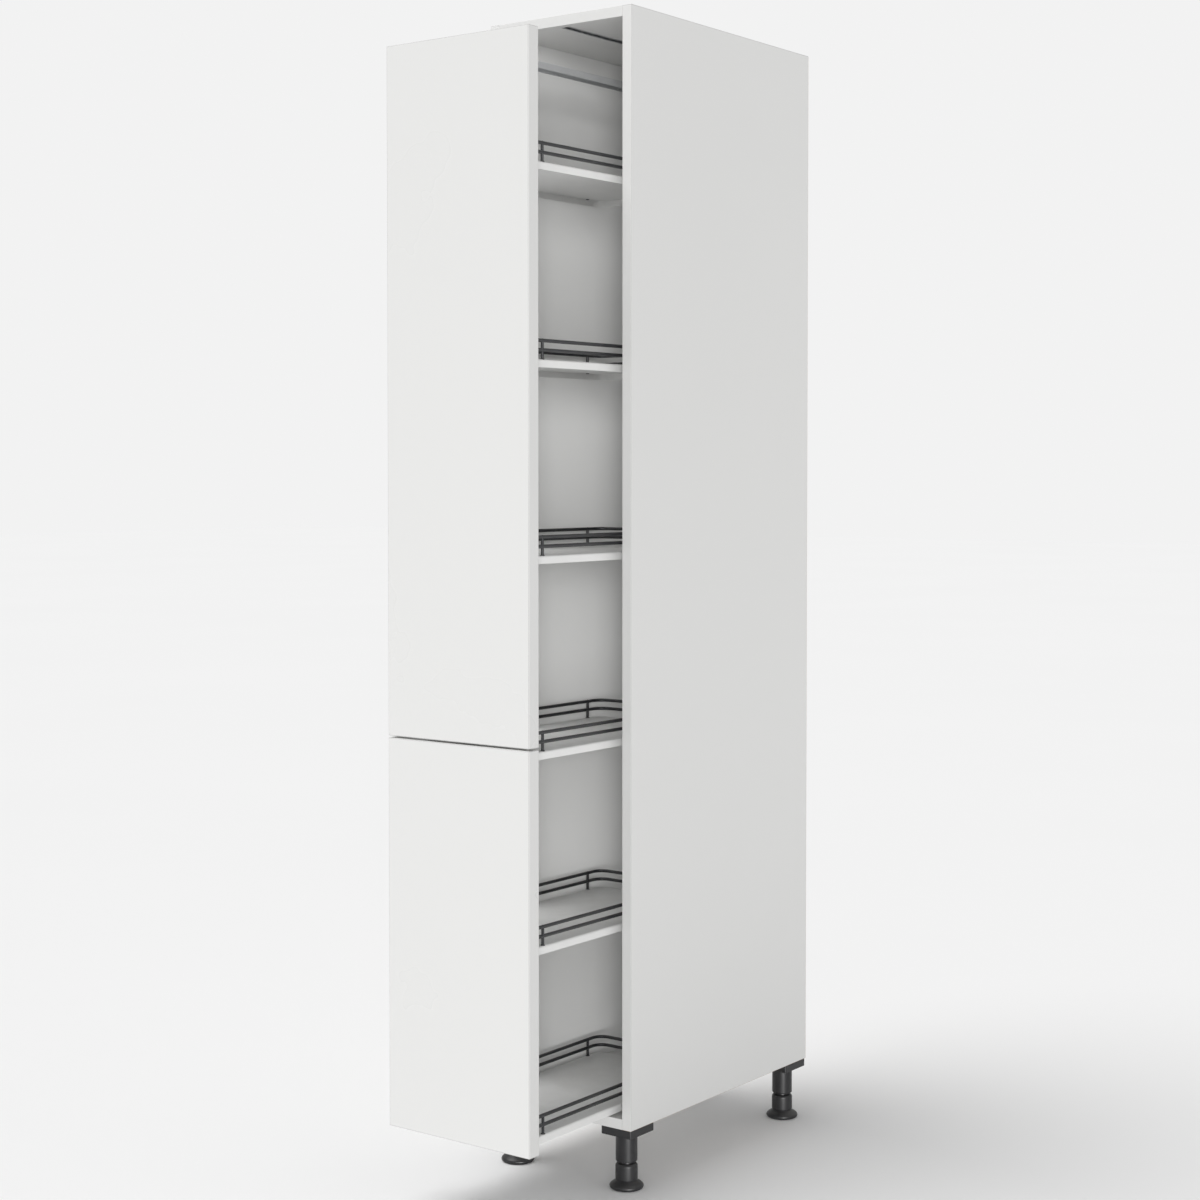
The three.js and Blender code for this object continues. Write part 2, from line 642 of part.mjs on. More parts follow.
// Bracket: a sheet bent to a C, from the top bar up to the rail
function guideBracketGeometry(axleY) {
  const half = GUIDE_BRACKET_SHEET / 2;
  const rear = FRAME_REAR - half;
  const front = axleY[0] - GUIDE_BRACKET_NOSE;
  const foot = TOP_BAR_TOP + SEAT_GAP + half;
  const head = GUIDE_HEAD_TOP - half;
  const line = [
    new THREE.Vector2(front, foot), new THREE.Vector2(rear, foot),
    new THREE.Vector2(rear, head), new THREE.Vector2(front, head),
  ];
  const sheet = prismAlongX(bentSheet(line, GUIDE_BRACKET_SHEET), GUIDE_BRACKET_WIDTH);
  const holeDepth = GUIDE_BRACKET_SHEET + 2 * CUT_PAST;
  const holes = axleY.map((y) => {
    const hole = new THREE.CylinderGeometry(GUIDE_AXLE_BORE, GUIDE_AXLE_BORE, holeDepth, BORE_SIDES);
    return hole.rotateX(Math.PI / 2).translate(0, y, head);
  });
  return cut(sheet, holes);
}

// ---------------------------------------------------------------- front

function frontBoard(height) {
  const radius = FRONT_EDGE_RADIUS;
  const x = FRONT_WIDTH / 2 - radius;
  const shape = new THREE.Shape();
  shape.moveTo(-x, radius);
  shape.lineTo(x, radius);
  shape.lineTo(x, height - radius);
  shape.lineTo(-x, height - radius);
  shape.closePath();
  const geometry = new THREE.ExtrudeGeometry(shape, {
    depth: FRONT_THICKNESS - 2 * radius,
    bevelSize: radius,
    bevelThickness: radius,
    bevelSegments: 3,
  });
  return toGeometry(toSolid(geometry.rotateX(Math.PI / 2)));
}

// Bracket: a flat plate behind the front with two long slots, and two ears beside the upright
function frontBracketGeometry() {
  const earX = UPRIGHT_WIDTH / 2 + SEAT_GAP + BRACKET_EAR_SHEET / 2;
  const slotX = (earX + BRACKET_EAR_SHEET / 2 + BRACKET_WIDTH / 2) / 2;
  const plate = prismAlongY(roundedRectangle(BRACKET_WIDTH, BRACKET_HEIGHT, BRACKET_CORNER), BRACKET_SHEET);
  const earOutline = roundedRectangle(
    BRACKET_EAR_DEPTH, BRACKET_HEIGHT - 2 * BRACKET_EAR_FROM_END, BRACKET_EAR_CORNER,
  );
  const ears = [-1, 1].map((side) => {
    const ear = prismAlongX(earOutline, BRACKET_EAR_SHEET);
    return ear.translate(side * earX, BRACKET_EAR_DEPTH / 2 + BRACKET_SHEET / 2, 0);
  });
  const slotOutline = slotShape(BRACKET_SLOT_WIDTH, BRACKET_SLOT_LENGTH);
  const slots = [-1, 1].map((side) => {
    return prismAlongY(slotOutline, BRACKET_SHEET + 2 * CUT_PAST).translate(side * slotX, -CUT_PAST, 0);
  });
  return cut(join([plate, ...ears]), slots);
}

function bumperGeometry() {
  const thickness = FRONT_CLOSED_GAP - 2 * SEAT_GAP;
  const radius = BUMPER_DIAMETER / 2;
  const points = [[0, 0], [radius, 0], [radius - BUMPER_CHAMFER, thickness], [0, thickness]];
  return turned(points, SMALL_TURNED_SIDES);
}

function fronts() {
  const group = new THREE.Group();
  const jointLow = FRONT_JOINT_HEIGHT - FRONT_JOINT_GAP / 2;
  const jointHigh = FRONT_JOINT_HEIGHT + FRONT_JOINT_GAP / 2;
  const boardY = FRONT_REAR_FACE - FRONT_EDGE_RADIUS;
  const bracketHeights = [
    FRONT_BOTTOM + BRACKET_FROM_END, jointLow - BRACKET_FROM_END,
    jointHigh + BRACKET_FROM_END, FRONT_TOP - BRACKET_FROM_END,
  ];
  const bumperX = FRONT_WIDTH / 2 - BUMPER_FROM_SIDE;
  const bumperHeights = [FRONT_BOTTOM + BUMPER_FROM_END, FRONT_TOP - BUMPER_FROM_END];
  group.add(
    part('lower_front', frontBoard(jointLow - FRONT_BOTTOM), 'front', 0, boardY, FRONT_BOTTOM),
    part('upper_front', frontBoard(FRONT_TOP - jointHigh), 'front', 0, boardY, jointHigh),
  );
  bracketHeights.forEach((z, index) => {
    const y = FRONT_REAR_FACE + SEAT_GAP;
    group.add(part(`front_bracket_${index + 1}`, frontBracketGeometry(), 'zinc', 0, y, z));
  });
  bumperHeights.forEach((z, row) => {
    [-bumperX, bumperX].forEach((x, column) => {
      const name = `bumper_${2 * row + column + 1}`;
      group.add(part(name, bumperGeometry(), 'rubber', x, FRONT_REAR_FACE + SEAT_GAP, z));
    });
  });
  return group;
}

// ---------------------------------------------------------------- sliding frame

// Upright: a lipped channel with its web towards the trays and hook slots in the web
function uprightGeometry(depth) {
  const half = (UPRIGHT_WIDTH - FRAME_SHEET) / 2;
  const web = -FRAME_SHEET / 2;
  const open = -depth + FRAME_SHEET / 2;
  const rightHalf = [
    new THREE.Vector2(half, web),
    new THREE.Vector2(half, open),
    new THREE.Vector2(half - UPRIGHT_LIP, open),
  ];
  const channel = prismUp(bentSheet(mirroredLine(rightHalf), FRAME_SHEET), UPRIGHT_TOP - UPRIGHT_BOTTOM);
  const slots = [];
  for (let index = 0; index < TRAY_COUNT; index += 1) {
    for (let step = 0; step <= SLOT_STEPS; step += 1) {
      const z = trayLevel(index) + HOOK_BOTTOM - UPRIGHT_BOTTOM + step * SLOT_PITCH;
      const height = HOOK_HEIGHT + HOOK_DROP + 2 * SEAT_GAP;
      if (z > 0 && z + height < UPRIGHT_TOP - UPRIGHT_BOTTOM) {
        for (const side of [-1, 1]) {
          const x = side * HOOK_SPACING / 2;
          const depthOfCut = FRAME_SHEET + 2 * CUT_PAST;
          slots.push(box(HOOK_WIDTH + 2 * SEAT_GAP, depthOfCut, height, x, CUT_PAST - depthOfCut, z));
        }
      }
    }
  }
  return cut(channel, slots);
}

// Top bar: a channel open downwards, from the front upright to the rear one
function topBarGeometry() {
  const half = (TOP_BAR_WIDTH - FRAME_SHEET) / 2;
  const rightHalf = [
    new THREE.Vector2(half, TOP_BAR_HEIGHT - FRAME_SHEET / 2),
    new THREE.Vector2(half, 0),
  ];
  return prismAlongY(bentSheet(mirroredLine(rightHalf), FRAME_SHEET), FRAME_REAR - UPRIGHT_FRONT_FACE);
}

function bottomBarGeometry() {
  return box(BOTTOM_BAR_WIDTH, FRAME_REAR - UPRIGHT_FRONT_FACE, BOTTOM_BAR_THICKNESS);
}

function slidingFrame() {
  const group = new THREE.Group();
  const axleY = [1, 0].map((place) => {
    return FRAME_REAR - GUIDE_AXLE_FROM_REAR - place * GUIDE_ROLLER_SPACING;
  });
  const frontUpright = part('front_upright', uprightGeometry(FRONT_UPRIGHT_DEPTH), 'frame',
    0, UPRIGHT_REAR_FACE, UPRIGHT_BOTTOM);
  const rearUpright = part('rear_upright', uprightGeometry(REAR_UPRIGHT_DEPTH), 'frame',
    0, REAR_UPRIGHT_FACE, UPRIGHT_BOTTOM);
  rearUpright.rotation.z = Math.PI;
  group.add(
    frontUpright,
    rearUpright,
    part('top_bar', topBarGeometry(), 'frame', 0, UPRIGHT_FRONT_FACE, TOP_BAR_BOTTOM),
    part('bottom_bar', bottomBarGeometry(), 'frame',
      0, UPRIGHT_FRONT_FACE, BOTTOM_BAR_TOP - BOTTOM_BAR_THICKNESS),
    part('guide_bracket', guideBracketGeometry(axleY), 'zinc'),
  );
  axleY.forEach((y, index) => {
    group.add(
      part(`guide_axle_${index + 1}`, guideAxleGeometry(), 'zinc', 0, y),
      part(`guide_roller_${index + 1}`, guideRollerGeometry(), 'nylon', 0, y, GUIDE_ROLLER_BOTTOM),
    );
  });
  return group;
}

// ---------------------------------------------------------------- trays and galleries

function strutPlaces() {
  const y = TRAY_LENGTH / 2 - STRUT_FROM_END;
  return [[-STRUT_X, -y], [STRUT_X, -y], [-STRUT_X, y], [STRUT_X, y]];
}

// Tray: a pressed sheet with its edge turned down all round, a hole for each strut, and a
// gap in the edge at both ends that lets the lowest tray pass over the runner
function trayGeometry() {
  const outline = roundedRectangle(TRAY_WIDTH, TRAY_LENGTH, TRAY_CORNER_RADIUS);
  const body = prismUp(outline, TRAY_DEPTH).translate(0, 0, -TRAY_DEPTH);
  const innerOutline = roundedRectangle(
    TRAY_WIDTH - 2 * TRAY_SHEET, TRAY_LENGTH - 2 * TRAY_SHEET, TRAY_CORNER_RADIUS - TRAY_SHEET,
  );
  const hollow = prismUp(innerOutline, TRAY_DEPTH).translate(0, 0, -TRAY_DEPTH - TRAY_SHEET);
  const holeRadius = STRUT_DIAMETER / 2 + SEAT_GAP;
  const holes = strutPlaces().map(([x, y]) => {
    const hole = new THREE.CylinderGeometry(holeRadius, holeRadius, 2 * TRAY_DEPTH, WIRE_SIDES);
    return hole.rotateX(Math.PI / 2).translate(x, y, 0);
  });
  const runnerGap = box(
    2 * (RUNNER_HALF_WIDTH + RUNNER_CLEARANCE), TRAY_LENGTH + 2 * CUT_PAST, TRAY_DEPTH,
    0, -TRAY_LENGTH / 2 - CUT_PAST, -TRAY_DEPTH - TRAY_SHEET,
  );
  return cut(body, [hollow, runnerGap, ...holes]);
}

// One side of a rail: from the middle of the front end, round two corners, to the middle of
// the rear end
function railSide(side, height) {
  const x = STRUT_X;
  const y = TRAY_LENGTH / 2 - WIRE_INSET;
  const radius = TRAY_CORNER_RADIUS - WIRE_INSET;
  const plan = [
    new THREE.Vector2(-WIRE_JOINT_OVERLAP, -y),
    ...arcPoints(x - radius, -y + radius, radius, -90, 0, WIRE_CORNER_STEPS),
    ...arcPoints(x - radius, y - radius, radius, 0, 90, WIRE_CORNER_STEPS),
    new THREE.Vector2(-WIRE_JOINT_OVERLAP, y),
  ];
  const points = plan.map((point) => new THREE.Vector3(side * point.x, point.y, height));
  return wireAlong(points, WIRE_DIAMETER);
}

// Hooks at one end of a gallery: a plate welded to the rails, with two hooks that drop into slots
function hookPlate() {
  const plateBottom = MID_RAIL_HEIGHT - WIRE_DIAMETER / 2 - HOOK_PLATE_DROP;
  const plateHeight = TOP_RAIL_HEIGHT + WIRE_DIAMETER / 2 - plateBottom;
  const plate = box(HOOK_PLATE_WIDTH, HOOK_PLATE_THICKNESS, plateHeight, 0, 0, plateBottom);
  const root = HOOK_PLATE_THICKNESS / 2;
  const tip = HOOK_PLATE_THICKNESS + HOOK_REACH + SEAT_GAP;
  const lipStart = HOOK_PLATE_THICKNESS + FRAME_SHEET + 2 * SEAT_GAP;
  const neck = HOOK_BOTTOM + HOOK_DROP;
  const top = neck + HOOK_HEIGHT;
  const outline = new THREE.Shape();
  outline.moveTo(root, neck);
  outline.lineTo(lipStart, neck);
  outline.lineTo(lipStart, HOOK_BOTTOM + SEAT_GAP);
  outline.lineTo(tip - HOOK_TIP_CHAMFER, HOOK_BOTTOM + SEAT_GAP);
  outline.lineTo(tip, neck);
  outline.lineTo(tip, top - HOOK_TOP_CHAMFER);
  outline.lineTo(tip - HOOK_TOP_CHAMFER, top);
  outline.lineTo(root, top);
  outline.closePath();
  const hooks = [-1, 1].map((side) => {
    return prismAlongX(outline, HOOK_WIDTH).translate(side * HOOK_SPACING / 2, 0, 0);
  });
  return join([plate, ...hooks]);
}

// Gallery: two wire rails round the tray, four struts, and hooks at both ends
function galleryGeometry() {
  const rails = [MID_RAIL_HEIGHT, TOP_RAIL_HEIGHT].flatMap((height) => [
    railSide(1, height), railSide(-1, height),
  ]);
  const strutBottom = -TRAY_SHEET - STRUT_BELOW_SHEET;
  const strutHeight = TOP_RAIL_HEIGHT - strutBottom;
  const strutRadius = STRUT_DIAMETER / 2;
  const struts = strutPlaces().map(([x, y]) => {
    const strut = new THREE.CylinderGeometry(strutRadius, strutRadius, strutHeight, WIRE_SIDES);
    return strut.rotateX(Math.PI / 2).translate(x, y, strutBottom + strutHeight / 2);
  });
  const plateY = TRAY_LENGTH / 2 + HOOK_PLATE_PROUD - HOOK_PLATE_THICKNESS;
  const rearHooks = hookPlate().translate(0, plateY, 0);
  const frontHooks = hookPlate().rotateZ(Math.PI).translate(0, -plateY, 0);
  return join([...rails, ...struts, rearHooks, frontHooks]);
}

function trays() {
  const group = new THREE.Group();
  const middle = (TRAY_FRONT + TRAY_REAR) / 2;
  for (let index = 0; index < TRAY_COUNT; index += 1) {
    const level = trayLevel(index);
    group.add(
      part(`tray_${index + 1}`, trayGeometry(), 'tray', 0, middle, level),
      part(`gallery_${index + 1}`, galleryGeometry(), 'wire', 0, middle, level),
    );
  }
  return group;
}

// ---------------------------------------------------------------- assembly

function larderUnit() {
  const pullOut = new THREE.Group();
  pullOut.add(fronts(), slidingFrame(), trays());
  pullOut.position.y = -PULLED_OUT;

  const rail = part('guide_rail', guideRailGeometry(), 'zinc', 0, GUIDE_START, CEILING);
  const cabinet = new THREE.Group();
  cabinet.add(carcass(), legs(), rail, runner(), pullOut);

  const foremost = FRONT_REAR_FACE - FRONT_THICKNESS - PULLED_OUT;
  cabinet.position.set(0, -(foremost + CARCASS_DEPTH) / 2, LEG_HEIGHT);

  const unit = new THREE.Group();
  unit.add(cabinet);
  unit.updateMatrixWorld(true);
  return unit;
}

export default larderUnit();
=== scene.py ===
"""Looks of the pull-out larder unit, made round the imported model.

Metres, in the model's own frame: the front faces -Y, the floor is at Z 0. Every size is
read from the model's boxes or named here, and every piece rides on the body it moves with.
"""

import json
import math

import bmesh
import bpy
from mathutils import Matrix, Vector

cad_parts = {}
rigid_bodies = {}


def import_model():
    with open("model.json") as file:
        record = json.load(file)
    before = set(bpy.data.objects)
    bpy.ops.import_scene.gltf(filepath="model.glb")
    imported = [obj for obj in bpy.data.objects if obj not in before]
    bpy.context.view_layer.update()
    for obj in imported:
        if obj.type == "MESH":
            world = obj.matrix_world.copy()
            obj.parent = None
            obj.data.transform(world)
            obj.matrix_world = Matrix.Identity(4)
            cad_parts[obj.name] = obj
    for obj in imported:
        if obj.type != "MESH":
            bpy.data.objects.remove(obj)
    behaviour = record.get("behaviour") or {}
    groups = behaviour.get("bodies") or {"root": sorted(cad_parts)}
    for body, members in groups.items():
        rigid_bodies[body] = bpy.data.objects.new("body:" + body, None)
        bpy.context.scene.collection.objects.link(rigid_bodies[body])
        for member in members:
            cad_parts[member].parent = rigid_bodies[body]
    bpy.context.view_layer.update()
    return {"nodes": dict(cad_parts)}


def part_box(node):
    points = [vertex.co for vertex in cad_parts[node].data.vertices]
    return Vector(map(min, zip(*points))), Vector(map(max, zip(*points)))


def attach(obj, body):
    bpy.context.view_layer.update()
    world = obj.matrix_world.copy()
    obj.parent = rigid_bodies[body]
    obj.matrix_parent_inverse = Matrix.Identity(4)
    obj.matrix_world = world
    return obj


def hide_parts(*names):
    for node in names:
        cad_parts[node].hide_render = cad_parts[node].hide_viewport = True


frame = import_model()

MM = 0.001

# ------------------------------------------------------------------ sizes

CORNERS = ("front_left", "front_right", "rear_left", "rear_right")
TRAYS = range(1, 7)
BRACKETS = range(1, 5)
ROLLERS = range(1, 3)
X, Y, Z = range(3)

SIDE_LOW, SIDE_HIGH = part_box("side_panel_right")
CARCASS_FRONT = SIDE_LOW.y
CARCASS_REAR = SIDE_HIGH.y
CARCASS_BOTTOM = SIDE_LOW.z
CARCASS_TOP = SIDE_HIGH.z

# Boards: edge band, the glue line behind it, how deep a sawn edge shows, rounded edges
BAND = 1.0 * MM
GLUE_LINE = 0.45 * MM
SAWN_DEPTH = 0.6 * MM
BOARD_EDGE = 0.9 * MM
FRONT_EDGE = 1.5 * MM

# Legs: socket plate and its spigot in the tube, the tube's two bores, pad, collar and stem
SOCKET_GAP = 0.3 * MM
SOCKET_CORNER = 3 * MM
SOCKET_EDGE = 1.0 * MM
SOCKET_SCREW_INSET = 8 * MM
SPIGOT = 15.2 * MM
SPIGOT_BORE = 15.5 * MM
SPIGOT_BORE_DEPTH = 11.5 * MM
TUBE_BORE = 12.3 * MM
PAD_HEIGHT = 14 * MM
COLLAR = 19 * MM
COLLAR_HEIGHT = 29 * MM
STEM = 12 * MM
STEM_GROOVE = 0.9 * MM
STEM_RIDGES = 8

# Front brackets: slotted plate, an ear on each side, and where the screws sit on both
BRACKET_SHEET = 2.4 * MM
BRACKET_CORNER = 6 * MM
BRACKET_SLOT = (6.0 * MM, 36.0 * MM)
BRACKET_SLOT_X = 36.55 * MM
EAR_SHEET = 1.8 * MM
EAR_CORNER = 3 * MM
EAR_X = 26.2 * MM
EAR_SHORTER = 12 * MM
PLATE_SCREW_RISE = 9 * MM
EAR_SCREW_RISE = 19 * MM
EAR_SCREW_INSET = 5 * MM

# Pan-head screws; in degrees, how far the first is turned, and each next one past the last
SCREW_HEAD = 4.2 * MM
SCREW_HEIGHT = 2.0 * MM
SCREW_TURN = (25, 47)

# Sliding frame: sheet, lips and folds of its channels, and the uprights' hook slots
SHEET = 1.5 * MM
LIP = 8.0 * MM
FOLD = 1.6 * MM
SHEET_EDGE = 0.25 * MM
SLOT_WIDTH = 3.6 * MM
SLOT_HEIGHT = 15.6 * MM
SLOT_RISE = 10.0 * MM
SLOT_FROM_TOP = 6 * MM
SLOT_SPACE = 4 * MM
SLOTS_PER_BAY = 10
BAR_EDGE = 0.4 * MM

# Top guide: the bracket's strip and its two screws, the rollers' bore and the axles' pin
STRIP = 3 * MM
STRIP_BEND = 3.5 * MM
STRIP_SCREW_FROM_END = 9 * MM
STRIP_SCREW_PITCH = 14 * MM
ROLLER_BORE = 2.8 * MM
AXLE_PIN = 2.5 * MM

# Guide rail: its lips and bends, its screws as shares of its length, and how proud they are
RAIL_LIP = 3 * MM
RAIL_BEND = 1.1 * MM
RAIL_SCREWS = (0.07, 0.36, 0.64, 0.93)
RAIL_SCREW_PROUD = 0.25 * MM

# Trays: sheet, corners in plan, the bend of the edge, and the gap over the runner
TRAY_SHEET = 2.0 * MM
TRAY_CORNER = 25.0 * MM
TRAY_BEND = 3.2 * MM
RUNNER_GAP = 62.0 * MM

# Galleries: wires, their heights over the tray, the struts, and the weld beads
WIRE = 6.0 * MM
WIRE_INSET = 4.0 * MM
MID_RAIL = 15.0 * MM
TOP_RAIL = 30.0 * MM
STRUT = 5.0 * MM
STRUT_FROM_END = 40.0 * MM
STRUT_FOOT = 0.8 * MM
STRUT_BEAD = (WIRE * 1.06, STRUT * 1.7, WIRE * 1.1)
PLATE_BEAD = (7 * MM, 4.5 * MM, 3.4 * MM)
PLATE_BEAD_X = 17 * MM
PLATE_BEAD_DROP = 2.2 * MM

# Hook plates and hooks: how far a hook stands off its plate and runs into it, and its outline
HOOK_PLATE = (40.0 * MM, 3.0 * MM)
HOOK_PLATE_BELOW = 4 * MM
HOOK_SPACING = 24.0 * MM
HOOK_WIDTH = 3.0 * MM
HOOK_REACH = 5.3 * MM
HOOK_ROOT = 2 * MM
HOOK_THROAT = 3.2 * MM
HOOK_RISE = 10 * MM

# Ball runner: the balls' height over the web, and the races' middle line round them
RUNNER_SHEET = 1.2 * MM
RUNNER_GAP_TO_BALL = 0.3 * MM
BALL = 2.3 * MM
BALL_RISE = 6.9 * MM
RACE_LINE = BALL + RUNNER_GAP_TO_BALL + RUNNER_SHEET / 2
RACE_SPAN = 36
CAGE_SHEET = 0.5 * MM
BALLS_PER_ROW = 9

# Light: the sky's strength, how pale the floor is far away, and the two soft suns,
# each with its strength, the way it comes from and its angle
SKY = 0.50
FAR_FLOOR = 0.889
KEY = (1.6, (-0.30, -0.30, 0.90), 40)
FILL = (1.15, (0.61, -0.78, 0.08), 14)

# Strip lights: place, target, width and height, and power
LEG_STRIP = ((2.65, -1.73, 0.12), (0.118, -0.114, 0.06), (0.10, 0.30), 75)
INNER_STRIP = ((1.05, -1.45, 1.0), (-0.13, 0.09, 1.0), (0.25, 1.5), 19)

# Camera, fitted to the drawing: focal length in pixels of the picture's width, and angles
PICTURE_WIDTH = 1200
FOCAL_LENGTH = 2130.2173
SENSOR = 36
CAMERA_PLACE = (2.21984, -3.00114, 1.21526)
CAMERA_DOWN = 1.7476
CAMERA_TURN = 36.7755
CAMERA_SHIFT = -0.055
FAR_AWAY = 100
FLOOR_REACH = 30

# Shading: faces that meet at less than this angle, in degrees, are shaded as one
SMOOTH_UNDER = 38
RACE_SMOOTH_UNDER = 32


# ------------------------------------------------------------------ mesh helpers


def verts_of(geometry):
    return [g for g in geometry if isinstance(g, bmesh.types.BMVert)]


def edges_of(geometry):
    return [g for g in geometry if isinstance(g, bmesh.types.BMEdge)]


def add_to(target, source, move):
    """Adds one finished bmesh to another, moved by a matrix."""
    scratch = bpy.data.meshes.new("scratch")
    source.to_mesh(scratch)
    source.free()
    scratch.transform(move)
    target.from_mesh(scratch)
    bpy.data.meshes.remove(scratch)


def move_to(x, y, z):
    return Matrix.Translation((x, y, z))


def turn(degrees, axis):
    return Matrix.Rotation(math.radians(degrees), 4, axis)


def bevel(bm, edges, width, segments):
    bmesh.ops.bevel(
        bm, geom=edges, offset=width, offset_type="OFFSET", segments=segments,
        profile=0.5, affect="EDGES", clamp_overlap=True, material=-1,
    )


def sharp_edges(bm, degrees=50):
    limit = math.radians(degrees)
    return [e for e in bm.edges if len(e.link_faces) == 2 and e.calc_face_angle(0) > limit]


def block(low, high, edge, segments):
    """A board or bar between two corners, with its edges rounded."""
    bm = bmesh.new()
    bmesh.ops.create_cube(bm, size=1)
    size = Vector(high) - Vector(low)
    bmesh.ops.scale(bm, vec=size, verts=bm.verts)
    bmesh.ops.translate(bm, vec=(Vector(low) + Vector(high)) / 2, verts=bm.verts)
    bevel(bm, bm.edges[:], edge, segments)
    return bm


def rounded_plan(width, length, radius, segments):
    """A flat rectangle with round corners in the XY plane, round the origin."""
    bm = bmesh.new()
    bmesh.ops.create_grid(bm, x_segments=1, y_segments=1, size=0.5)
    bmesh.ops.scale(bm, vec=(width, length, 1), verts=bm.verts)
    bmesh.ops.bevel(
        bm, geom=bm.verts[:], offset=radius, offset_type="OFFSET", segments=segments,
        profile=0.5, affect="VERTICES", clamp_overlap=True, material=-1,
    )
    return bm


def plate(width, length, thickness, radius, holes=(), edge=0.3 * MM, segments=5):
    """A flat plate from Z 0 up, with round corners and slots: holes are (x, y, width, length)."""
    bm = rounded_plan(width, length, radius, segments)
    if holes:
        for x, y, hole_width, hole_length in holes:
            least = min(hole_width, hole_length)
            hole = rounded_plan(hole_width, hole_length, least * 0.499, 8)
            add_to(bm, hole, move_to(x, y, 0))
        bmesh.ops.delete(bm, geom=bm.faces[:], context="FACES_ONLY")
        bmesh.ops.triangle_fill(bm, edges=bm.edges[:], use_beauty=True, use_dissolve=False)
        bmesh.ops.dissolve_limit(
            bm, angle_limit=math.radians(1), verts=bm.verts[:], edges=bm.edges[:],
        )
    bmesh.ops.recalc_face_normals(bm, faces=bm.faces[:])
    bmesh.ops.solidify(bm, geom=bm.faces[:], thickness=thickness)
    bmesh.ops.recalc_face_normals(bm, faces=bm.faces[:])
    lowest = min(v.co.z for v in bm.verts)
    bmesh.ops.translate(bm, vec=(0, 0, -lowest), verts=bm.verts)
    bevel(bm, sharp_edges(bm), edge, 2)
    return bm


def turned(profile, segments):
    """A body of revolution about Z from (radius, height) pairs."""
    bm = bmesh.new()
    line = [bm.verts.new((radius, 0, height)) for radius, height in profile]
    for first, second in zip(line, line[1:]):
        bm.edges.new((first, second))
    bmesh.ops.spin(
        bm, geom=bm.verts[:] + bm.edges[:], cent=(0, 0, 0), axis=(0, 0, 1),
        angle=2 * math.pi, steps=segments, use_merge=True,
    )
    bmesh.ops.remove_doubles(bm, verts=bm.verts[:], dist=1e-6)
    bmesh.ops.recalc_face_normals(bm, faces=bm.faces[:])
    return bm


def run_straight(bm, ring, way):
    """Carries an open edge ring or line along a straight way, and returns its new edges."""
    made = bmesh.ops.extrude_edge_only(bm, edges=ring)["geom"]
    ends = set(verts_of(made))
    bmesh.ops.translate(bm, vec=way, verts=list(ends))
    return [e for e in edges_of(made) if set(e.verts) <= ends]


def run_round(bm, ring, centre, degrees, steps):
    """Carries an edge ring round a bend about an upright axis, and returns its new edges."""
    corners = list({v for e in ring for v in e.verts})
    made = bmesh.ops.spin(
        bm, geom=corners + ring, cent=centre, axis=(0, 0, 1),
        angle=math.radians(degrees), steps=steps, use_merge=False,
    )
    return edges_of(made["geom_last"])


def bent_strip(line, way, bend_radius=0.0, segments=4):
    """A sheet's middle surface: a line of points carried along a way, rounded at its bends."""
    bm = bmesh.new()
    points = [bm.verts.new(point) for point in line]
    edges = [bm.edges.new(pair) for pair in zip(points, points[1:])]
    run_straight(bm, edges, way)
    if bend_radius:
        along = Vector(way).normalized()
        folds = [
            e for e in bm.edges
            if len(e.link_faces) == 2
            and abs((e.verts[1].co - e.verts[0].co).normalized().dot(along)) > 0.99
            and e.calc_face_angle(0) > math.radians(20)
        ]
        bevel(bm, folds, bend_radius, segments)
    return bm


# ------------------------------------------------------------------ pieces


def new_piece(
    name, bm, body, finish, nodes=(), sheet=None, edge=None, smooth=SMOOTH_UNDER,
):
    """Makes a piece of a bmesh, with its sheet and its rounded edges worked into the mesh.

    nodes are the solids that it stands for. sheet is a thickness, and the side of the surface
    it lies on: 0 for half on each side, -1 for all of it behind.
    """
    bmesh.ops.remove_doubles(bm, verts=bm.verts[:], dist=2e-6)
    bmesh.ops.recalc_face_normals(bm, faces=bm.faces[:])
    mesh = bpy.data.meshes.new(name)
    bm.to_mesh(mesh)
    bm.free()
    piece = bpy.data.objects.new(name, mesh)
    bpy.context.scene.collection.objects.link(piece)
    if sheet is not None:
        thickness, offset = sheet
        wall = piece.modifiers.new("wall", "SOLIDIFY")
        wall.thickness = thickness
        wall.offset = offset
        wall.use_even_offset = True
        wall.use_quality_normals = True
    if edge is not None:
        rim = piece.modifiers.new("rim", "BEVEL")
        rim.width = edge
        rim.segments = 2
        rim.limit_method = "ANGLE"
        rim.angle_limit = math.radians(50)
        close = piece.modifiers.new("close", "WELD")
        close.merge_threshold = 0.004 * MM
    if piece.modifiers:
        settled = evaluated_mesh(piece)
        piece.modifiers.clear()
        piece.data = settled
        bpy.data.meshes.remove(mesh)
        settled.name = name
    piece.data.polygons.foreach_set("use_smooth", [True] * len(piece.data.polygons))
    piece.data.set_sharp_from_angle(angle=math.radians(smooth))
    even = piece.modifiers.new("even", "WEIGHTED_NORMAL")
    even.keep_sharp = True
    piece.data.materials.clear()
    piece.data.materials.append(finish)
    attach(piece, body)
    if nodes:
        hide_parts(*nodes)


def evaluated_mesh(thing):
    """A new mesh with the object's modifiers worked in."""
    bpy.context.view_layer.update()
    graph = bpy.context.evaluated_depsgraph_get()
    return bpy.data.meshes.new_from_object(thing.evaluated_get(graph))


def dress_board(node, finish):
    """Gives a board of the model its finish, and small rounded edges."""
    board = frame["nodes"][node]
    board.data.materials.clear()
    board.data.materials.append(finish)
    weld = board.modifiers.new("weld", "WELD")
    weld.merge_threshold = 0.02 * MM
    rim = board.modifiers.new("rim", "BEVEL")
    rim.width = BOARD_EDGE
    rim.segments = 2
    rim.limit_method = "ANGLE"
    rim.angle_limit = math.radians(40)


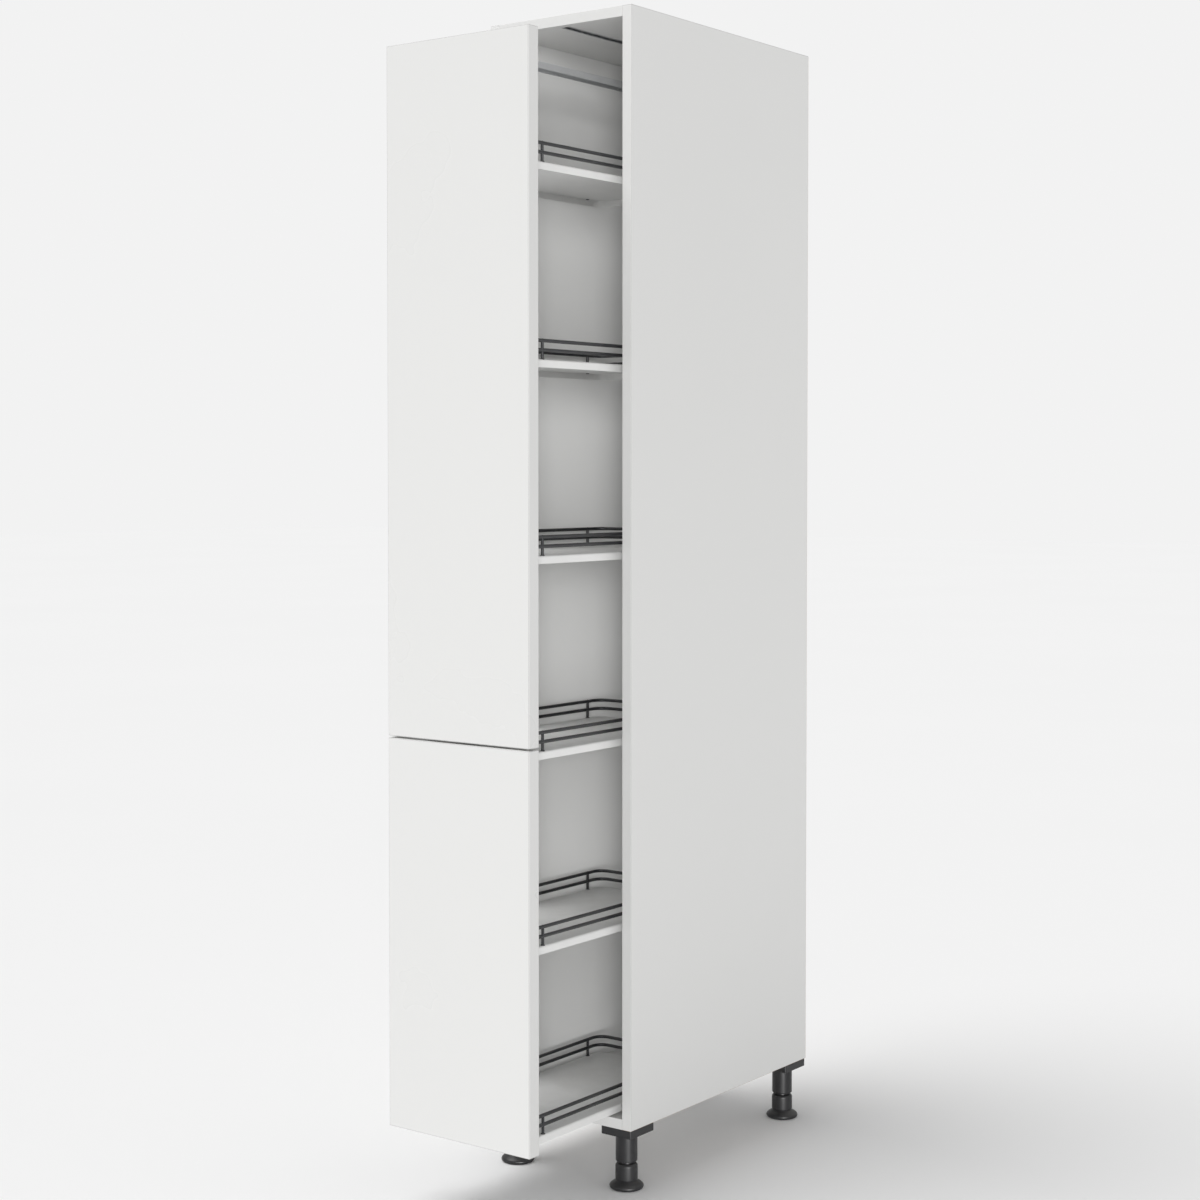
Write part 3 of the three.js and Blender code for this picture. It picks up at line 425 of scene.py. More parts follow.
# ------------------------------------------------------------------ shared effects


def new_group(name, inputs, outputs):
    """An empty shader group with named inputs and outputs."""
    group = bpy.data.node_groups.new(name, "ShaderNodeTree")
    for label, kind, value in inputs:
        socket = group.interface.new_socket(label, in_out="INPUT", socket_type=kind)
        socket.default_value = value
    for label, kind in outputs:
        group.interface.new_socket(label, in_out="OUTPUT", socket_type=kind)
    return group, group.nodes.new("NodeGroupInput"), group.nodes.new("NodeGroupOutput")


def math_node(tree, operation, first, second=None, third=None):
    """A Math node whose inputs are sockets or numbers; returns its output."""
    node = tree.nodes.new("ShaderNodeMath")
    node.operation = operation
    for index, value in enumerate((first, second, third)):
        if value is None:
            continue
        if isinstance(value, (int, float)):
            node.inputs[index].default_value = value
        else:
            tree.links.new(value, node.inputs[index])
    return node.outputs[0]


def mix_colour(tree, factor, first, second):
    """Mixes two colours, each a socket or three numbers, by a socket; returns the output."""
    node = tree.nodes.new("ShaderNodeMix")
    node.data_type = "RGBA"
    tree.links.new(factor, node.inputs[0])
    for index, value in ((6, first), (7, second)):
        if isinstance(value, bpy.types.NodeSocket):
            tree.links.new(value, node.inputs[index])
        else:
            node.inputs[index].default_value = (*value, 1)
    return node.outputs[2]


def noise(tree, place, scale, detail, roughness=0.5):
    node = tree.nodes.new("ShaderNodeTexNoise")
    node.inputs["Scale"].default_value = scale
    node.inputs["Detail"].default_value = detail
    node.inputs["Roughness"].default_value = roughness
    tree.links.new(place, node.inputs["Vector"])
    return node.outputs["Fac"]


def remap(tree, value, low, high, to_low=0.0, to_high=1.0):
    node = tree.nodes.new("ShaderNodeMapRange")
    node.interpolation_type = "SMOOTHSTEP"
    node.inputs["From Min"].default_value = low
    node.inputs["From Max"].default_value = high
    node.inputs["To Min"].default_value = to_low
    node.inputs["To Max"].default_value = to_high
    tree.links.new(value, node.inputs["Value"])
    return node.outputs["Result"]


def make_fine_grain():
    """Fine height and slow tone variation of a moulded, coated or laminated surface."""
    group, given, out = new_group(
        "fine_grain",
        [
            ("Place", "NodeSocketVector", (0, 0, 0)),
            ("Grain Scale", "NodeSocketFloat", 900.0),
            ("Tone Scale", "NodeSocketFloat", 6.0),
        ],
        [("Height", "NodeSocketFloat"), ("Tone", "NodeSocketFloat")],
    )
    for output, scale_input, detail in (("Height", "Grain Scale", 3), ("Tone", "Tone Scale", 4)):
        texture = group.nodes.new("ShaderNodeTexNoise")
        texture.inputs["Detail"].default_value = detail
        group.links.new(given.outputs["Place"], texture.inputs["Vector"])
        group.links.new(given.outputs[scale_input], texture.inputs["Scale"])
        group.links.new(texture.outputs["Fac"], out.inputs[output])
    return group


def make_edge_line():
    """A thin line across a coordinate, such as the glue line behind an edge band."""
    group, given, out = new_group(
        "edge_line",
        [
            ("Coordinate", "NodeSocketFloat", 0.0),
            ("Middle", "NodeSocketFloat", 0.0),
            ("Width", "NodeSocketFloat", GLUE_LINE),
        ],
        [("Mask", "NodeSocketFloat")],
    )
    away = math_node(
        group, "ABSOLUTE",
        math_node(group, "SUBTRACT", given.outputs["Coordinate"], given.outputs["Middle"]),
    )
    half = math_node(group, "MULTIPLY", given.outputs["Width"], 0.5)
    inside = math_node(group, "LESS_THAN", away, half)
    group.links.new(inside, out.inputs["Mask"])
    return group


def make_settled_dust():
    """Where dust and dull wear lie: faces that look up, broken by a slow noise."""
    group, given, out = new_group(
        "settled_dust",
        [
            ("Place", "NodeSocketVector", (0, 0, 0)),
            ("Amount", "NodeSocketFloat", 0.3),
        ],
        [("Mask", "NodeSocketFloat")],
    )
    geometry = group.nodes.new("ShaderNodeNewGeometry")
    split = group.nodes.new("ShaderNodeSeparateXYZ")
    group.links.new(geometry.outputs["Normal"], split.inputs[0])
    up = remap(group, split.outputs["Z"], 0.3, 1.0)
    patches = remap(group, noise(group, given.outputs["Place"], 14.0, 5.0, 0.6), 0.35, 0.75)
    mask = math_node(group, "MULTIPLY", math_node(group, "MULTIPLY", up, patches),
                     given.outputs["Amount"])
    group.links.new(mask, out.inputs["Mask"])
    return group


def make_rub_marks():
    """Fine rub marks: stretched noise cut to short streaks."""
    group, given, out = new_group(
        "rub_marks",
        [
            ("Place", "NodeSocketVector", (0, 0, 0)),
            ("Amount", "NodeSocketFloat", 0.2),
        ],
        [("Mask", "NodeSocketFloat")],
    )
    stretch = group.nodes.new("ShaderNodeMapping")
    stretch.inputs["Scale"].default_value = (260.0, 18.0, 60.0)
    group.links.new(given.outputs["Place"], stretch.inputs["Vector"])
    streaks = remap(group, noise(group, stretch.outputs["Vector"], 1.0, 4.0, 0.65), 0.62, 0.72)
    where = remap(group, noise(group, given.outputs["Place"], 9.0, 2.0), 0.45, 0.65)
    mask = math_node(group, "MULTIPLY", math_node(group, "MULTIPLY", streaks, where),
                     given.outputs["Amount"])
    group.links.new(mask, out.inputs["Mask"])
    return group


FINE_GRAIN = make_fine_grain()
EDGE_LINE = make_edge_line()
SETTLED_DUST = make_settled_dust()
RUB_MARKS = make_rub_marks()


# ------------------------------------------------------------------ finishes


class Finish:
    """A material under construction: its node tree, its place socket and its shader."""

    def __init__(self, name, grain_scale, tone_scale):
        self.material = bpy.data.materials.new(name)
        self.material.use_nodes = True
        self.tree = self.material.node_tree
        self.shader = self.tree.nodes["Principled BSDF"]
        coordinates = self.tree.nodes.new("ShaderNodeTexCoord")
        self.place = coordinates.outputs["Object"]
        grain = self.group(FINE_GRAIN, **{"Grain Scale": grain_scale, "Tone Scale": tone_scale})
        self.height = grain.outputs["Height"]
        self.tone = grain.outputs["Tone"]

    def group(self, group, **values):
        node = self.tree.nodes.new("ShaderNodeGroup")
        node.node_tree = group
        if "Place" in node.inputs:
            self.tree.links.new(self.place, node.inputs["Place"])
        for label, value in values.items():
            node.inputs[label].default_value = value
        return node

    def split_place(self):
        node = self.tree.nodes.new("ShaderNodeSeparateXYZ")
        self.tree.links.new(self.place, node.inputs[0])
        return node.outputs

    def colour(self, socket):
        self.tree.links.new(socket, self.shader.inputs["Base Color"])

    def roughness(self, low, high, extra=None):
        value = remap(self.tree, self.tone, 0.3, 0.7, low, high)
        if extra is not None:
            value = math_node(self.tree, "ADD", value, extra)
        self.tree.links.new(value, self.shader.inputs["Roughness"])

    def bump(self, distance, strength):
        node = self.tree.nodes.new("ShaderNodeBump")
        node.inputs["Distance"].default_value = distance
        node.inputs["Strength"].default_value = strength
        self.tree.links.new(self.height, node.inputs["Height"])
        self.tree.links.new(node.outputs["Normal"], self.shader.inputs["Normal"])

    def set(self, **values):
        for label, value in values.items():
            self.shader.inputs[label.replace("_", " ")].default_value = value
        return self.material


def chipboard(finish):
    """Colour of a sawn chipboard edge: pressed chips of several browns."""
    tree = finish.tree
    chips = tree.nodes.new("ShaderNodeTexVoronoi")
    chips.inputs["Scale"].default_value = 420.0
    tree.links.new(finish.place, chips.inputs["Vector"])
    split = tree.nodes.new("ShaderNodeSeparateColor")
    tree.links.new(chips.outputs["Color"], split.inputs[0])
    return mix_colour(tree, split.outputs["Red"], (0.30, 0.19, 0.10), (0.62, 0.46, 0.29))


def laminated_board(name, white, lines=(), raw=(), low=0.34, high=0.44):
    """White laminated board: glue lines at given coordinates, and sawn edges past others.

    lines holds (axis, place) and raw holds (axis, place, way), with way 1 for the side past it.
    """
    finish = Finish(name, grain_scale=1400.0, tone_scale=3.0)
    tree = finish.tree
    axes = finish.split_place()
    shade = remap(tree, finish.tone, 0.3, 0.7)
    colour = mix_colour(tree, shade, [c * 0.996 for c in white], white)
    line = None
    for axis, place in lines:
        node = finish.group(EDGE_LINE, Middle=place, Width=GLUE_LINE)
        tree.links.new(axes[axis], node.inputs["Coordinate"])
        mask = node.outputs["Mask"]
        line = mask if line is None else math_node(tree, "MAXIMUM", line, mask)
    if line is not None:
        colour = mix_colour(tree, line, colour, [c * 0.55 for c in white])
    sawn = None
    for axis, place, way in raw:
        test = "GREATER_THAN" if way > 0 else "LESS_THAN"
        mask = math_node(tree, test, axes[axis], place)
        sawn = mask if sawn is None else math_node(tree, "MAXIMUM", sawn, mask)
    if sawn is not None:
        colour = mix_colour(tree, sawn, colour, chipboard(finish))
    dust = finish.group(SETTLED_DUST, Amount=0.22).outputs["Mask"]
    colour = mix_colour(tree, dust, colour, (0.60, 0.58, 0.54))
    finish.colour(colour)
    extra = dust
    if sawn is not None:
        extra = math_node(tree, "MULTIPLY_ADD", sawn, 0.45, extra)
    finish.roughness(low, high, extra)
    finish.bump(0.01 * MM, 0.25)
    return finish.set(IOR=1.5, Specular_IOR_Level=0.5)


def painted_steel(name, dark, light, low, high, metallic=0.0, coat=0.0, grain=700.0):
    """Powder-coated steel: fine orange peel, slow tone changes, dust and rub marks."""
    finish = Finish(name, grain_scale=grain, tone_scale=8.0)
    tree = finish.tree
    colour = mix_colour(tree, remap(tree, finish.tone, 0.3, 0.7), dark, light)
    marks = finish.group(RUB_MARKS, Amount=0.25).outputs["Mask"]
    dust = finish.group(SETTLED_DUST, Amount=0.18).outputs["Mask"]
    colour = mix_colour(tree, marks, colour, [min(1.0, c * 1.25 + 0.02) for c in light])
    colour = mix_colour(tree, dust, colour, (0.50, 0.49, 0.46))
    finish.colour(colour)
    finish.roughness(low, high, dust)
    finish.bump(0.06 * MM, 0.55)
    return finish.set(Metallic=metallic, Coat_Weight=coat, Coat_Roughness=0.15)


def zinc_plate():
    """Zinc-plated sheet: faint spangle, rolled streaks, dull oxide."""
    finish = Finish("zinc_plate", grain_scale=1600.0, tone_scale=20.0)
    tree = finish.tree
    spangle = tree.nodes.new("ShaderNodeTexVoronoi")
    spangle.inputs["Scale"].default_value = 160.0
    tree.links.new(finish.place, spangle.inputs["Vector"])
    split = tree.nodes.new("ShaderNodeSeparateColor")
    tree.links.new(spangle.outputs["Color"], split.inputs[0])
    mixed = math_node(tree, "MULTIPLY_ADD", split.outputs["Red"], 0.35,
                      math_node(tree, "MULTIPLY", finish.tone, 0.65))
    shade = remap(tree, mixed, 0.25, 0.75)
    colour = mix_colour(tree, shade, (0.50, 0.51, 0.53), (0.66, 0.67, 0.69))
    marks = finish.group(RUB_MARKS, Amount=0.35).outputs["Mask"]
    colour = mix_colour(tree, marks, colour, (0.36, 0.37, 0.39))
    finish.colour(colour)
    finish.roughness(0.26, 0.42, marks)
    finish.bump(0.02 * MM, 0.4)
    return finish.set(Metallic=1.0)


def polished_steel():
    """Hard bright steel of the balls and screws, with faint handling marks."""
    finish = Finish("polished_steel", grain_scale=2200.0, tone_scale=60.0)
    tree = finish.tree
    shade = remap(tree, finish.tone, 0.3, 0.7)
    colour = mix_colour(tree, shade, (0.62, 0.63, 0.65), (0.74, 0.75, 0.77))
    marks = finish.group(RUB_MARKS, Amount=0.3).outputs["Mask"]
    finish.colour(mix_colour(tree, marks, colour, (0.42, 0.43, 0.45)))
    finish.roughness(0.12, 0.24, marks)
    finish.bump(0.01 * MM, 0.3)
    return finish.set(Metallic=1.0)


def moulded_plastic(name, dark, light, low, high, dust_amount=0.3):
    """Moulded plastic with a fine eroded texture and dust on what looks up."""
    finish = Finish(name, grain_scale=1100.0, tone_scale=18.0)
    tree = finish.tree
    colour = mix_colour(tree, remap(tree, finish.tone, 0.3, 0.7), dark, light)
    dust = finish.group(SETTLED_DUST, Amount=dust_amount).outputs["Mask"]
    marks = finish.group(RUB_MARKS, Amount=0.2).outputs["Mask"]
    colour = mix_colour(tree, dust, colour, (0.34, 0.33, 0.31))
    finish.colour(colour)
    finish.roughness(low, high, math_node(tree, "ADD", dust, marks))
    finish.bump(0.03 * MM, 0.5)
    return finish.set(IOR=1.49)


WHITE = (0.76, 0.76, 0.75)
FRONT_WHITE = (0.74, 0.74, 0.73)

SIDE_BOARD = laminated_board(
    "side_board", WHITE,
    lines=[(Y, CARCASS_FRONT + BAND), (Z, CARCASS_TOP - BAND)],
    raw=[(Y, CARCASS_REAR - SAWN_DEPTH, 1), (Z, CARCASS_BOTTOM + SAWN_DEPTH, -1)],
)
CROSS_BOARD = laminated_board(
    "cross_board", WHITE,
    lines=[(Y, CARCASS_FRONT + BAND)],
    raw=[(Y, CARCASS_REAR - SAWN_DEPTH, 1)],
)
BACK_BOARD = laminated_board("back_board", WHITE)
TRAY_PAINT = painted_steel("tray_paint", (0.80, 0.80, 0.79), (0.85, 0.85, 0.84), 0.36, 0.48)
WIRE_PAINT = painted_steel(
    "wire_paint", (0.016, 0.017, 0.019), (0.026, 0.027, 0.030), 0.30, 0.42, coat=0.2, grain=1400.0,
)
FRAME_PAINT = painted_steel(
    "frame_paint", (0.56, 0.57, 0.58), (0.64, 0.65, 0.66), 0.36, 0.48, metallic=0.35, grain=1200.0,
)
ZINC = zinc_plate()
BRIGHT_STEEL = polished_steel()
LEG_PLASTIC = moulded_plastic(
    "leg_plastic", (0.008, 0.008, 0.009), (0.013, 0.013, 0.014), 0.34, 0.42, dust_amount=0.12,
)
NYLON = moulded_plastic("roller_nylon", (0.66, 0.65, 0.61), (0.74, 0.73, 0.69), 0.40, 0.55)
BUMPER_RUBBER = moulded_plastic("bumper_rubber", (0.48, 0.48, 0.47), (0.56, 0.56, 0.55), 0.45, 0.6)


def front_board_finish(name, node):
    """The front's laminate, with the glue lines of its own four edge bands."""
    low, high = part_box(node)
    return laminated_board(
        name, FRONT_WHITE,
        lines=[(X, low.x + BAND), (X, high.x - BAND), (Z, low.z + BAND), (Z, high.z - BAND)],
        low=0.27, high=0.29,
    )


# ------------------------------------------------------------------ screws


def cross_screw_mesh():
    """One pan-head screw, its seat at Z 0 and its head up, with a cut cross recess."""
    r, h = SCREW_HEAD, SCREW_HEIGHT
    head = turned([(0, h), (r * 0.45, h * 0.97), (r * 0.8, h * 0.78), (r * 0.97, h * 0.42),
                   (r, h * 0.15), (r * 0.97, 0), (0, 0)], 20)
    recess = bmesh.new()
    for degrees in (0, 90):
        bar = bmesh.new()
        bmesh.ops.create_cube(bar, size=1)
        bmesh.ops.scale(bar, vec=(r * 1.05, r * 0.22, h * 1.2), verts=bar.verts)
        add_to(recess, bar, turn(degrees, "Z") @ move_to(0, 0, h * 1.05))
    things = []
    for label, bm in (("head", head), ("recess", recess)):
        mesh = bpy.data.meshes.new(label)
        bm.to_mesh(mesh)
        bm.free()
        thing = bpy.data.objects.new(label, mesh)
        bpy.context.scene.collection.objects.link(thing)
        things.append(thing)
    cut = things[0].modifiers.new("cut", "BOOLEAN")
    cut.operation = "DIFFERENCE"
    cut.solver = "EXACT"
    cut.use_self = True
    cut.object = things[1]
    mesh = evaluated_mesh(things[0])
    for thing in things:
        spare = thing.data
        bpy.data.objects.remove(thing)
        bpy.data.meshes.remove(spare)
    return mesh


SCREW = cross_screw_mesh()

# Turns that take a screw's head from up to another way
LOOK = {
    "up": Matrix.Identity(4),
    "down": turn(180, "X"),
    "rear": turn(-90, "X"),
    "right": turn(90, "Y"),
    "left": turn(-90, "Y"),
}


def screws(name, body, places):
    """A set of screws on one body, from (x, y, z, the way the head looks)."""
    first_turn, next_turn = SCREW_TURN
    bm = bmesh.new()
    for index, (x, y, z, way) in enumerate(places):
        copy = SCREW.copy()
        turned_to = turn(first_turn + next_turn * index, "Z")
        copy.transform(move_to(x, y, z) @ LOOK[way] @ turned_to)
        bm.from_mesh(copy)
        bpy.data.meshes.remove(copy)
    new_piece(name, bm, body, BRIGHT_STEEL)


# ------------------------------------------------------------------ carcass


def make_carcass():
    for side in ("left", "right"):
        dress_board(f"side_panel_{side}", SIDE_BOARD)
    dress_board("bottom_panel", CROSS_BOARD)
    dress_board("top_panel", CROSS_BOARD)
    dress_board("back_panel", BACK_BOARD)


# ------------------------------------------------------------------ legs


def leg_middle(corner):
    low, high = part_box(f"leg_foot_{corner}")
    return (low.x + high.x) / 2, (low.y + high.y) / 2


def leg_plate_bottom(corner):
    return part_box(f"leg_tube_{corner}")[1].z + SOCKET_GAP


def leg_socket(corner):
    """Socket: a plate with rounded edges, and under it the spigot that the tube is pushed on."""
    x, y = leg_middle(corner)
    low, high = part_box(f"leg_socket_{corner}")
    under = leg_plate_bottom(corner)
    bm = plate(
        high.x - low.x, high.y - low.y, high.z - under, SOCKET_CORNER,
        edge=SOCKET_EDGE, segments=6,
    )
    bmesh.ops.translate(bm, vec=(x, (low.y + high.y) / 2, under), verts=bm.verts)
    spigot = turned([
        (0, under), (SPIGOT, under), (SPIGOT, low.z + MM), (SPIGOT - MM, low.z), (0, low.z),
    ], 32)
    add_to(bm, spigot, move_to(x, y, 0))
    new_piece(f"socket_{corner}", bm, "carcass", LEG_PLASTIC, [f"leg_socket_{corner}"])


def leg_tube(corner):
    """Tube: a smooth sleeve with rounded rims, its bore, and the wider bore for the spigot."""
    x, y = leg_middle(corner)
    low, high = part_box(f"leg_tube_{corner}")
    outer = (high.x - low.x) / 2
    bore = TUBE_BORE
    step = high.z - SPIGOT_BORE_DEPTH
    profile = [
        (bore, low.z + 1.2 * MM), (bore + 1.2 * MM, low.z), (outer - 2.2 * MM, low.z),
        (outer - 1.1 * MM, low.z + 0.3 * MM), (outer - 0.3 * MM, low.z + 1.1 * MM),
        (outer, low.z + 2.4 * MM), (outer, high.z - 1.4 * MM),
        (outer - 0.5 * MM, high.z - 0.4 * MM), (outer - 1.4 * MM, high.z),
        (SPIGOT_BORE, high.z), (SPIGOT_BORE, step), (bore, step), (bore, low.z + 1.2 * MM),
    ]
    bm = turned(profile, 48)
    bmesh.ops.translate(bm, vec=(x, y, 0), verts=bm.verts)
    new_piece(f"tube_{corner}", bm, "carcass", LEG_PLASTIC, [f"leg_tube_{corner}"])


def leg_foot(corner):
    """Foot: pad with a rolled rim, the collar it is turned by, and its stem, ridged all round."""
    x, y = leg_middle(corner)
    low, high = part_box(f"leg_foot_{corner}")
    pad = (high.x - low.x) / 2
    pad_top = low.z + PAD_HEIGHT
    collar_top = pad_top + COLLAR_HEIGHT
    profile = [
        (0, low.z), (pad - 5 * MM, low.z), (pad - 2.4 * MM, low.z + 0.6 * MM),
        (pad - 0.7 * MM, low.z + 2.2 * MM), (pad, low.z + 4.4 * MM),
        (pad - 0.8 * MM, low.z + 6.6 * MM), (pad - 3.2 * MM, low.z + 8.8 * MM),
        (pad - 7 * MM, low.z + 11.2 * MM),
        (COLLAR - 0.6 * MM, pad_top - 0.6 * MM), (COLLAR - 1.5 * MM, pad_top + 0.4 * MM),
        (COLLAR - 0.5 * MM, pad_top + 1.3 * MM), (COLLAR, pad_top + 2.6 * MM),
        (COLLAR, collar_top - 4.4 * MM), (COLLAR - 0.5 * MM, collar_top - 2.8 * MM),
        (COLLAR - 2.0 * MM, collar_top - 0.8 * MM), (COLLAR - 3.4 * MM, collar_top),
        (STEM, collar_top),
    ]
    rise = (high.z - MM - collar_top - MM) / STEM_RIDGES
    for index in range(STEM_RIDGES):
        start = collar_top + MM + index * rise
        profile += [
            (STEM, start + 0.15 * rise), (STEM - STEM_GROOVE, start + 0.5 * rise),
            (STEM, start + 0.85 * rise),
        ]
    profile += [(STEM - 1.2 * MM, high.z), (0, high.z)]
    bm = turned(profile, 48)
    bmesh.ops.translate(bm, vec=(x, y, 0), verts=bm.verts)
    name = f"foot_{corner}_pad"
    new_piece(name, bm, f"foot_{corner}", LEG_PLASTIC, [f"leg_foot_{corner}"])


def make_legs():
    places = []
    for corner in CORNERS:
        leg_socket(corner)
        leg_tube(corner)
        leg_foot(corner)
        low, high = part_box(f"leg_socket_{corner}")
        seat = leg_plate_bottom(corner)
        middle = (low + high) / 2
        reach = (high - low) / 2 - Vector((SOCKET_SCREW_INSET, SOCKET_SCREW_INSET, 0))
        places += [
            (middle.x + reach.x * across, middle.y + reach.y * along, seat, "down")
            for across in (-1, 1) for along in (-1, 1)
        ]
    screws("socket_screws", "carcass", places)


# ------------------------------------------------------------------ front


def make_fronts():
    for node in ("lower_front", "upper_front"):
        low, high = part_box(node)
        finish = front_board_finish(f"{node}_laminate", node)
        board = block(low, high, FRONT_EDGE, 4)
        new_piece(f"{node}_board", board, "pull_out", finish, [node])


def front_bracket(index):
    """Bracket: slotted plate behind the front, and an ear on each side of the upright."""
    low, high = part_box(f"front_bracket_{index}")
    middle = (low.z + high.z) / 2
    width = high.x - low.x
    height = high.z - low.z
    holes = [(side * BRACKET_SLOT_X, 0, *BRACKET_SLOT) for side in (-1, 1)]
    bm = bmesh.new()
    flat = plate(width, height, BRACKET_SHEET, BRACKET_CORNER, holes, edge=0.35 * MM)
    add_to(bm, flat, move_to(0, low.y, middle) @ turn(90, "X") @ move_to(0, 0, -BRACKET_SHEET))
    depth = high.y - low.y - BRACKET_SHEET / 2
    for side in (-1, 1):
        ear = plate(depth, height - EAR_SHORTER, EAR_SHEET, EAR_CORNER)
        place = move_to(side * EAR_X, high.y - depth / 2, middle) @ turn(90, "X") @ turn(90, "Y")
        add_to(bm, ear, place @ move_to(0, 0, -EAR_SHEET / 2))
    new_piece(f"bracket_{index}", bm, "pull_out", ZINC, [f"front_bracket_{index}"])


def bumper(index):
    """Bumper: a low dome, flat side on the front."""
    low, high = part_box(f"bumper_{index}")
    radius = (high.x - low.x) / 2
    thickness = high.y - low.y
    profile = [
        (0, 0), (radius, 0), (radius * 0.98, thickness * 0.35),
        (radius * 0.86, thickness * 0.7), (radius * 0.6, thickness * 0.92),
        (radius * 0.25, thickness), (0, thickness),
    ]
    bm = turned(profile, 28)
    middle = (low + high) / 2
    bmesh.ops.transform(
        bm, matrix=move_to(middle.x, low.y, middle.z) @ turn(-90, "X"), verts=bm.verts,
    )
    name = f"bumper_pad_{index}"
    new_piece(name, bm, "pull_out", BUMPER_RUBBER, [f"bumper_{index}"])


def make_front_fittings():
    heads = []
    for index in BRACKETS:
        front_bracket(index)
        bumper(index)
        low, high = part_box(f"front_bracket_{index}")
        middle = (low.z + high.z) / 2
        seat = low.y + BRACKET_SHEET
        for side, way in ((-1, "left"), (1, "right")):
            for rise in (-PLATE_SCREW_RISE, PLATE_SCREW_RISE):
                heads.append((side * BRACKET_SLOT_X, seat, middle + rise, "rear"))
            for rise in (-EAR_SCREW_RISE, EAR_SCREW_RISE):
                face = side * (EAR_X + EAR_SHEET / 2)
                heads.append((face, high.y - EAR_SCREW_INSET, middle + rise, way))
    screws("bracket_screws", "pull_out", heads)


# ------------------------------------------------------------------ sliding frame


def tray_level(index):
    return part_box(f"tray_{index}")[1].z


def slot_heights(node):
    """Lower ends of the hook slots: the lowest tray's, then an even row that fits the others."""
    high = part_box(node)[1]
    pitch = tray_level(3) - tray_level(2)
    grid_start = tray_level(2) - pitch
    heights = [tray_level(1) + SLOT_RISE]
    lowest = heights[0] + SLOT_HEIGHT + SLOT_SPACE
    for step in range(1, SLOTS_PER_BAY * len(TRAYS)):
        height = grid_start + pitch * step / SLOTS_PER_BAY + SLOT_RISE
        if height + SLOT_HEIGHT < high.z - SLOT_FROM_TOP and height > lowest:
            heights.append(height)
    return heights


def upright(node, web_towards):
    """Lipped channel with a double row of hook slots, folded from one sheet."""
    low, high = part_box(node)
    half = (high.x - low.x - SHEET) / 2
    web, open_side = (high.y, low.y) if web_towards > 0 else (low.y, high.y)
    web -= web_towards * SHEET / 2
    open_side += web_towards * SHEET / 2
    slot_sides = [
        side * HOOK_SPACING / 2 + reach * SLOT_WIDTH / 2
        for side in (-1, 1) for reach in (-1, 1)
    ]
    right = [(half, open_side), (half - LIP, open_side)]
    left = [(-half + LIP, open_side), (-half, open_side)]
    line = [*left, (-half, web), *[(x, web) for x in slot_sides], (half, web), *right]
    bm = bmesh.new()
    points = [bm.verts.new((x, y, low.z)) for x, y in line]
    row = [bm.edges.new(pair) for pair in zip(points, points[1:])]
    gaps = []
    here = low.z
    for slot in slot_heights(node):
        for level in (slot, slot + SLOT_HEIGHT):
            row = run_straight(bm, row, (0, 0, level - here))
            here = level
        gaps.append((slot, slot + SLOT_HEIGHT))
    run_straight(bm, row, (0, 0, high.z - here))
    in_slot = []
    for face in bm.faces:
        centre = face.calc_center_median()
        column = any(abs(centre.x - side * HOOK_SPACING / 2) < SLOT_WIDTH / 2 for side in (-1, 1))
        level = any(bottom < centre.z < top for bottom, top in gaps)
        if column and level and abs(centre.y - web) < 0.1 * MM:
            in_slot.append(face)
    bmesh.ops.delete(bm, geom=in_slot, context="FACES")
    folds = [
        e for e in bm.edges
        if len(e.link_faces) == 2 and e.calc_face_angle(0) > math.radians(40)
    ]
    bevel(bm, folds, FOLD, 3)
    new_piece(
        f"{node}_channel", bm, "pull_out", FRAME_PAINT, [node],
        sheet=(SHEET, 0.0), edge=SHEET_EDGE,
    )


def top_bar():
    """Channel along the top of the frame, open downwards."""
    low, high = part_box("top_bar")
    x = high.x - SHEET / 2
    top = high.z - SHEET / 2
    line = [(-x, low.y, low.z), (-x, low.y, top), (x, low.y, top), (x, low.y, low.z)]
    bm = bent_strip(line, (0, high.y - low.y, 0), FOLD)
    new_piece(
        "top_bar_channel", bm, "pull_out", FRAME_PAINT, ["top_bar"],
        sheet=(SHEET, 0.0), edge=SHEET_EDGE,
    )


def guide_bracket():
    """Strip bent to a C that carries the two guide rollers."""
    low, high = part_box("guide_bracket")
    rear = high.y - STRIP / 2
    line = [
        (low.x, low.y, low.z + STRIP / 2), (low.x, rear, low.z + STRIP / 2),
        (low.x, rear, high.z - STRIP / 2), (low.x, low.y, high.z - STRIP / 2),
    ]
    bm = bent_strip(line, (high.x - low.x, 0, 0), STRIP_BEND, 5)
    new_piece(
        "guide_bracket_strip", bm, "pull_out", ZINC, ["guide_bracket"],
        sheet=(STRIP, 0.0), edge=0.3 * MM,
    )


def guide_roller(index):
    """Roller with rounded rims and its bore; heights are shares of its own height."""
    node = f"guide_roller_{index}"
    low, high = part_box(node)
    x, y = (low.x + high.x) / 2, (low.y + high.y) / 2
    radius = (high.x - low.x) / 2
    bore = ROLLER_BORE
    rise = high.z - low.z
    profile = [
        (bore, 0.3), (bore + 0.3 * MM, 0), (radius - 0.9 * MM, 0), (radius - 0.25 * MM, 0.1),
        (radius, 0.35), (radius, 0.65), (radius - 0.25 * MM, 0.9), (radius - 0.9 * MM, 1),
        (bore + 0.3 * MM, 1), (bore, 0.7), (bore, 0.3),
    ]
    bm = turned([(r, low.z + share * rise) for r, share in profile], 40)
    bmesh.ops.translate(bm, vec=(x, y, 0), verts=bm.verts)
    new_piece(f"roller_{index}", bm, node, NYLON, [node])


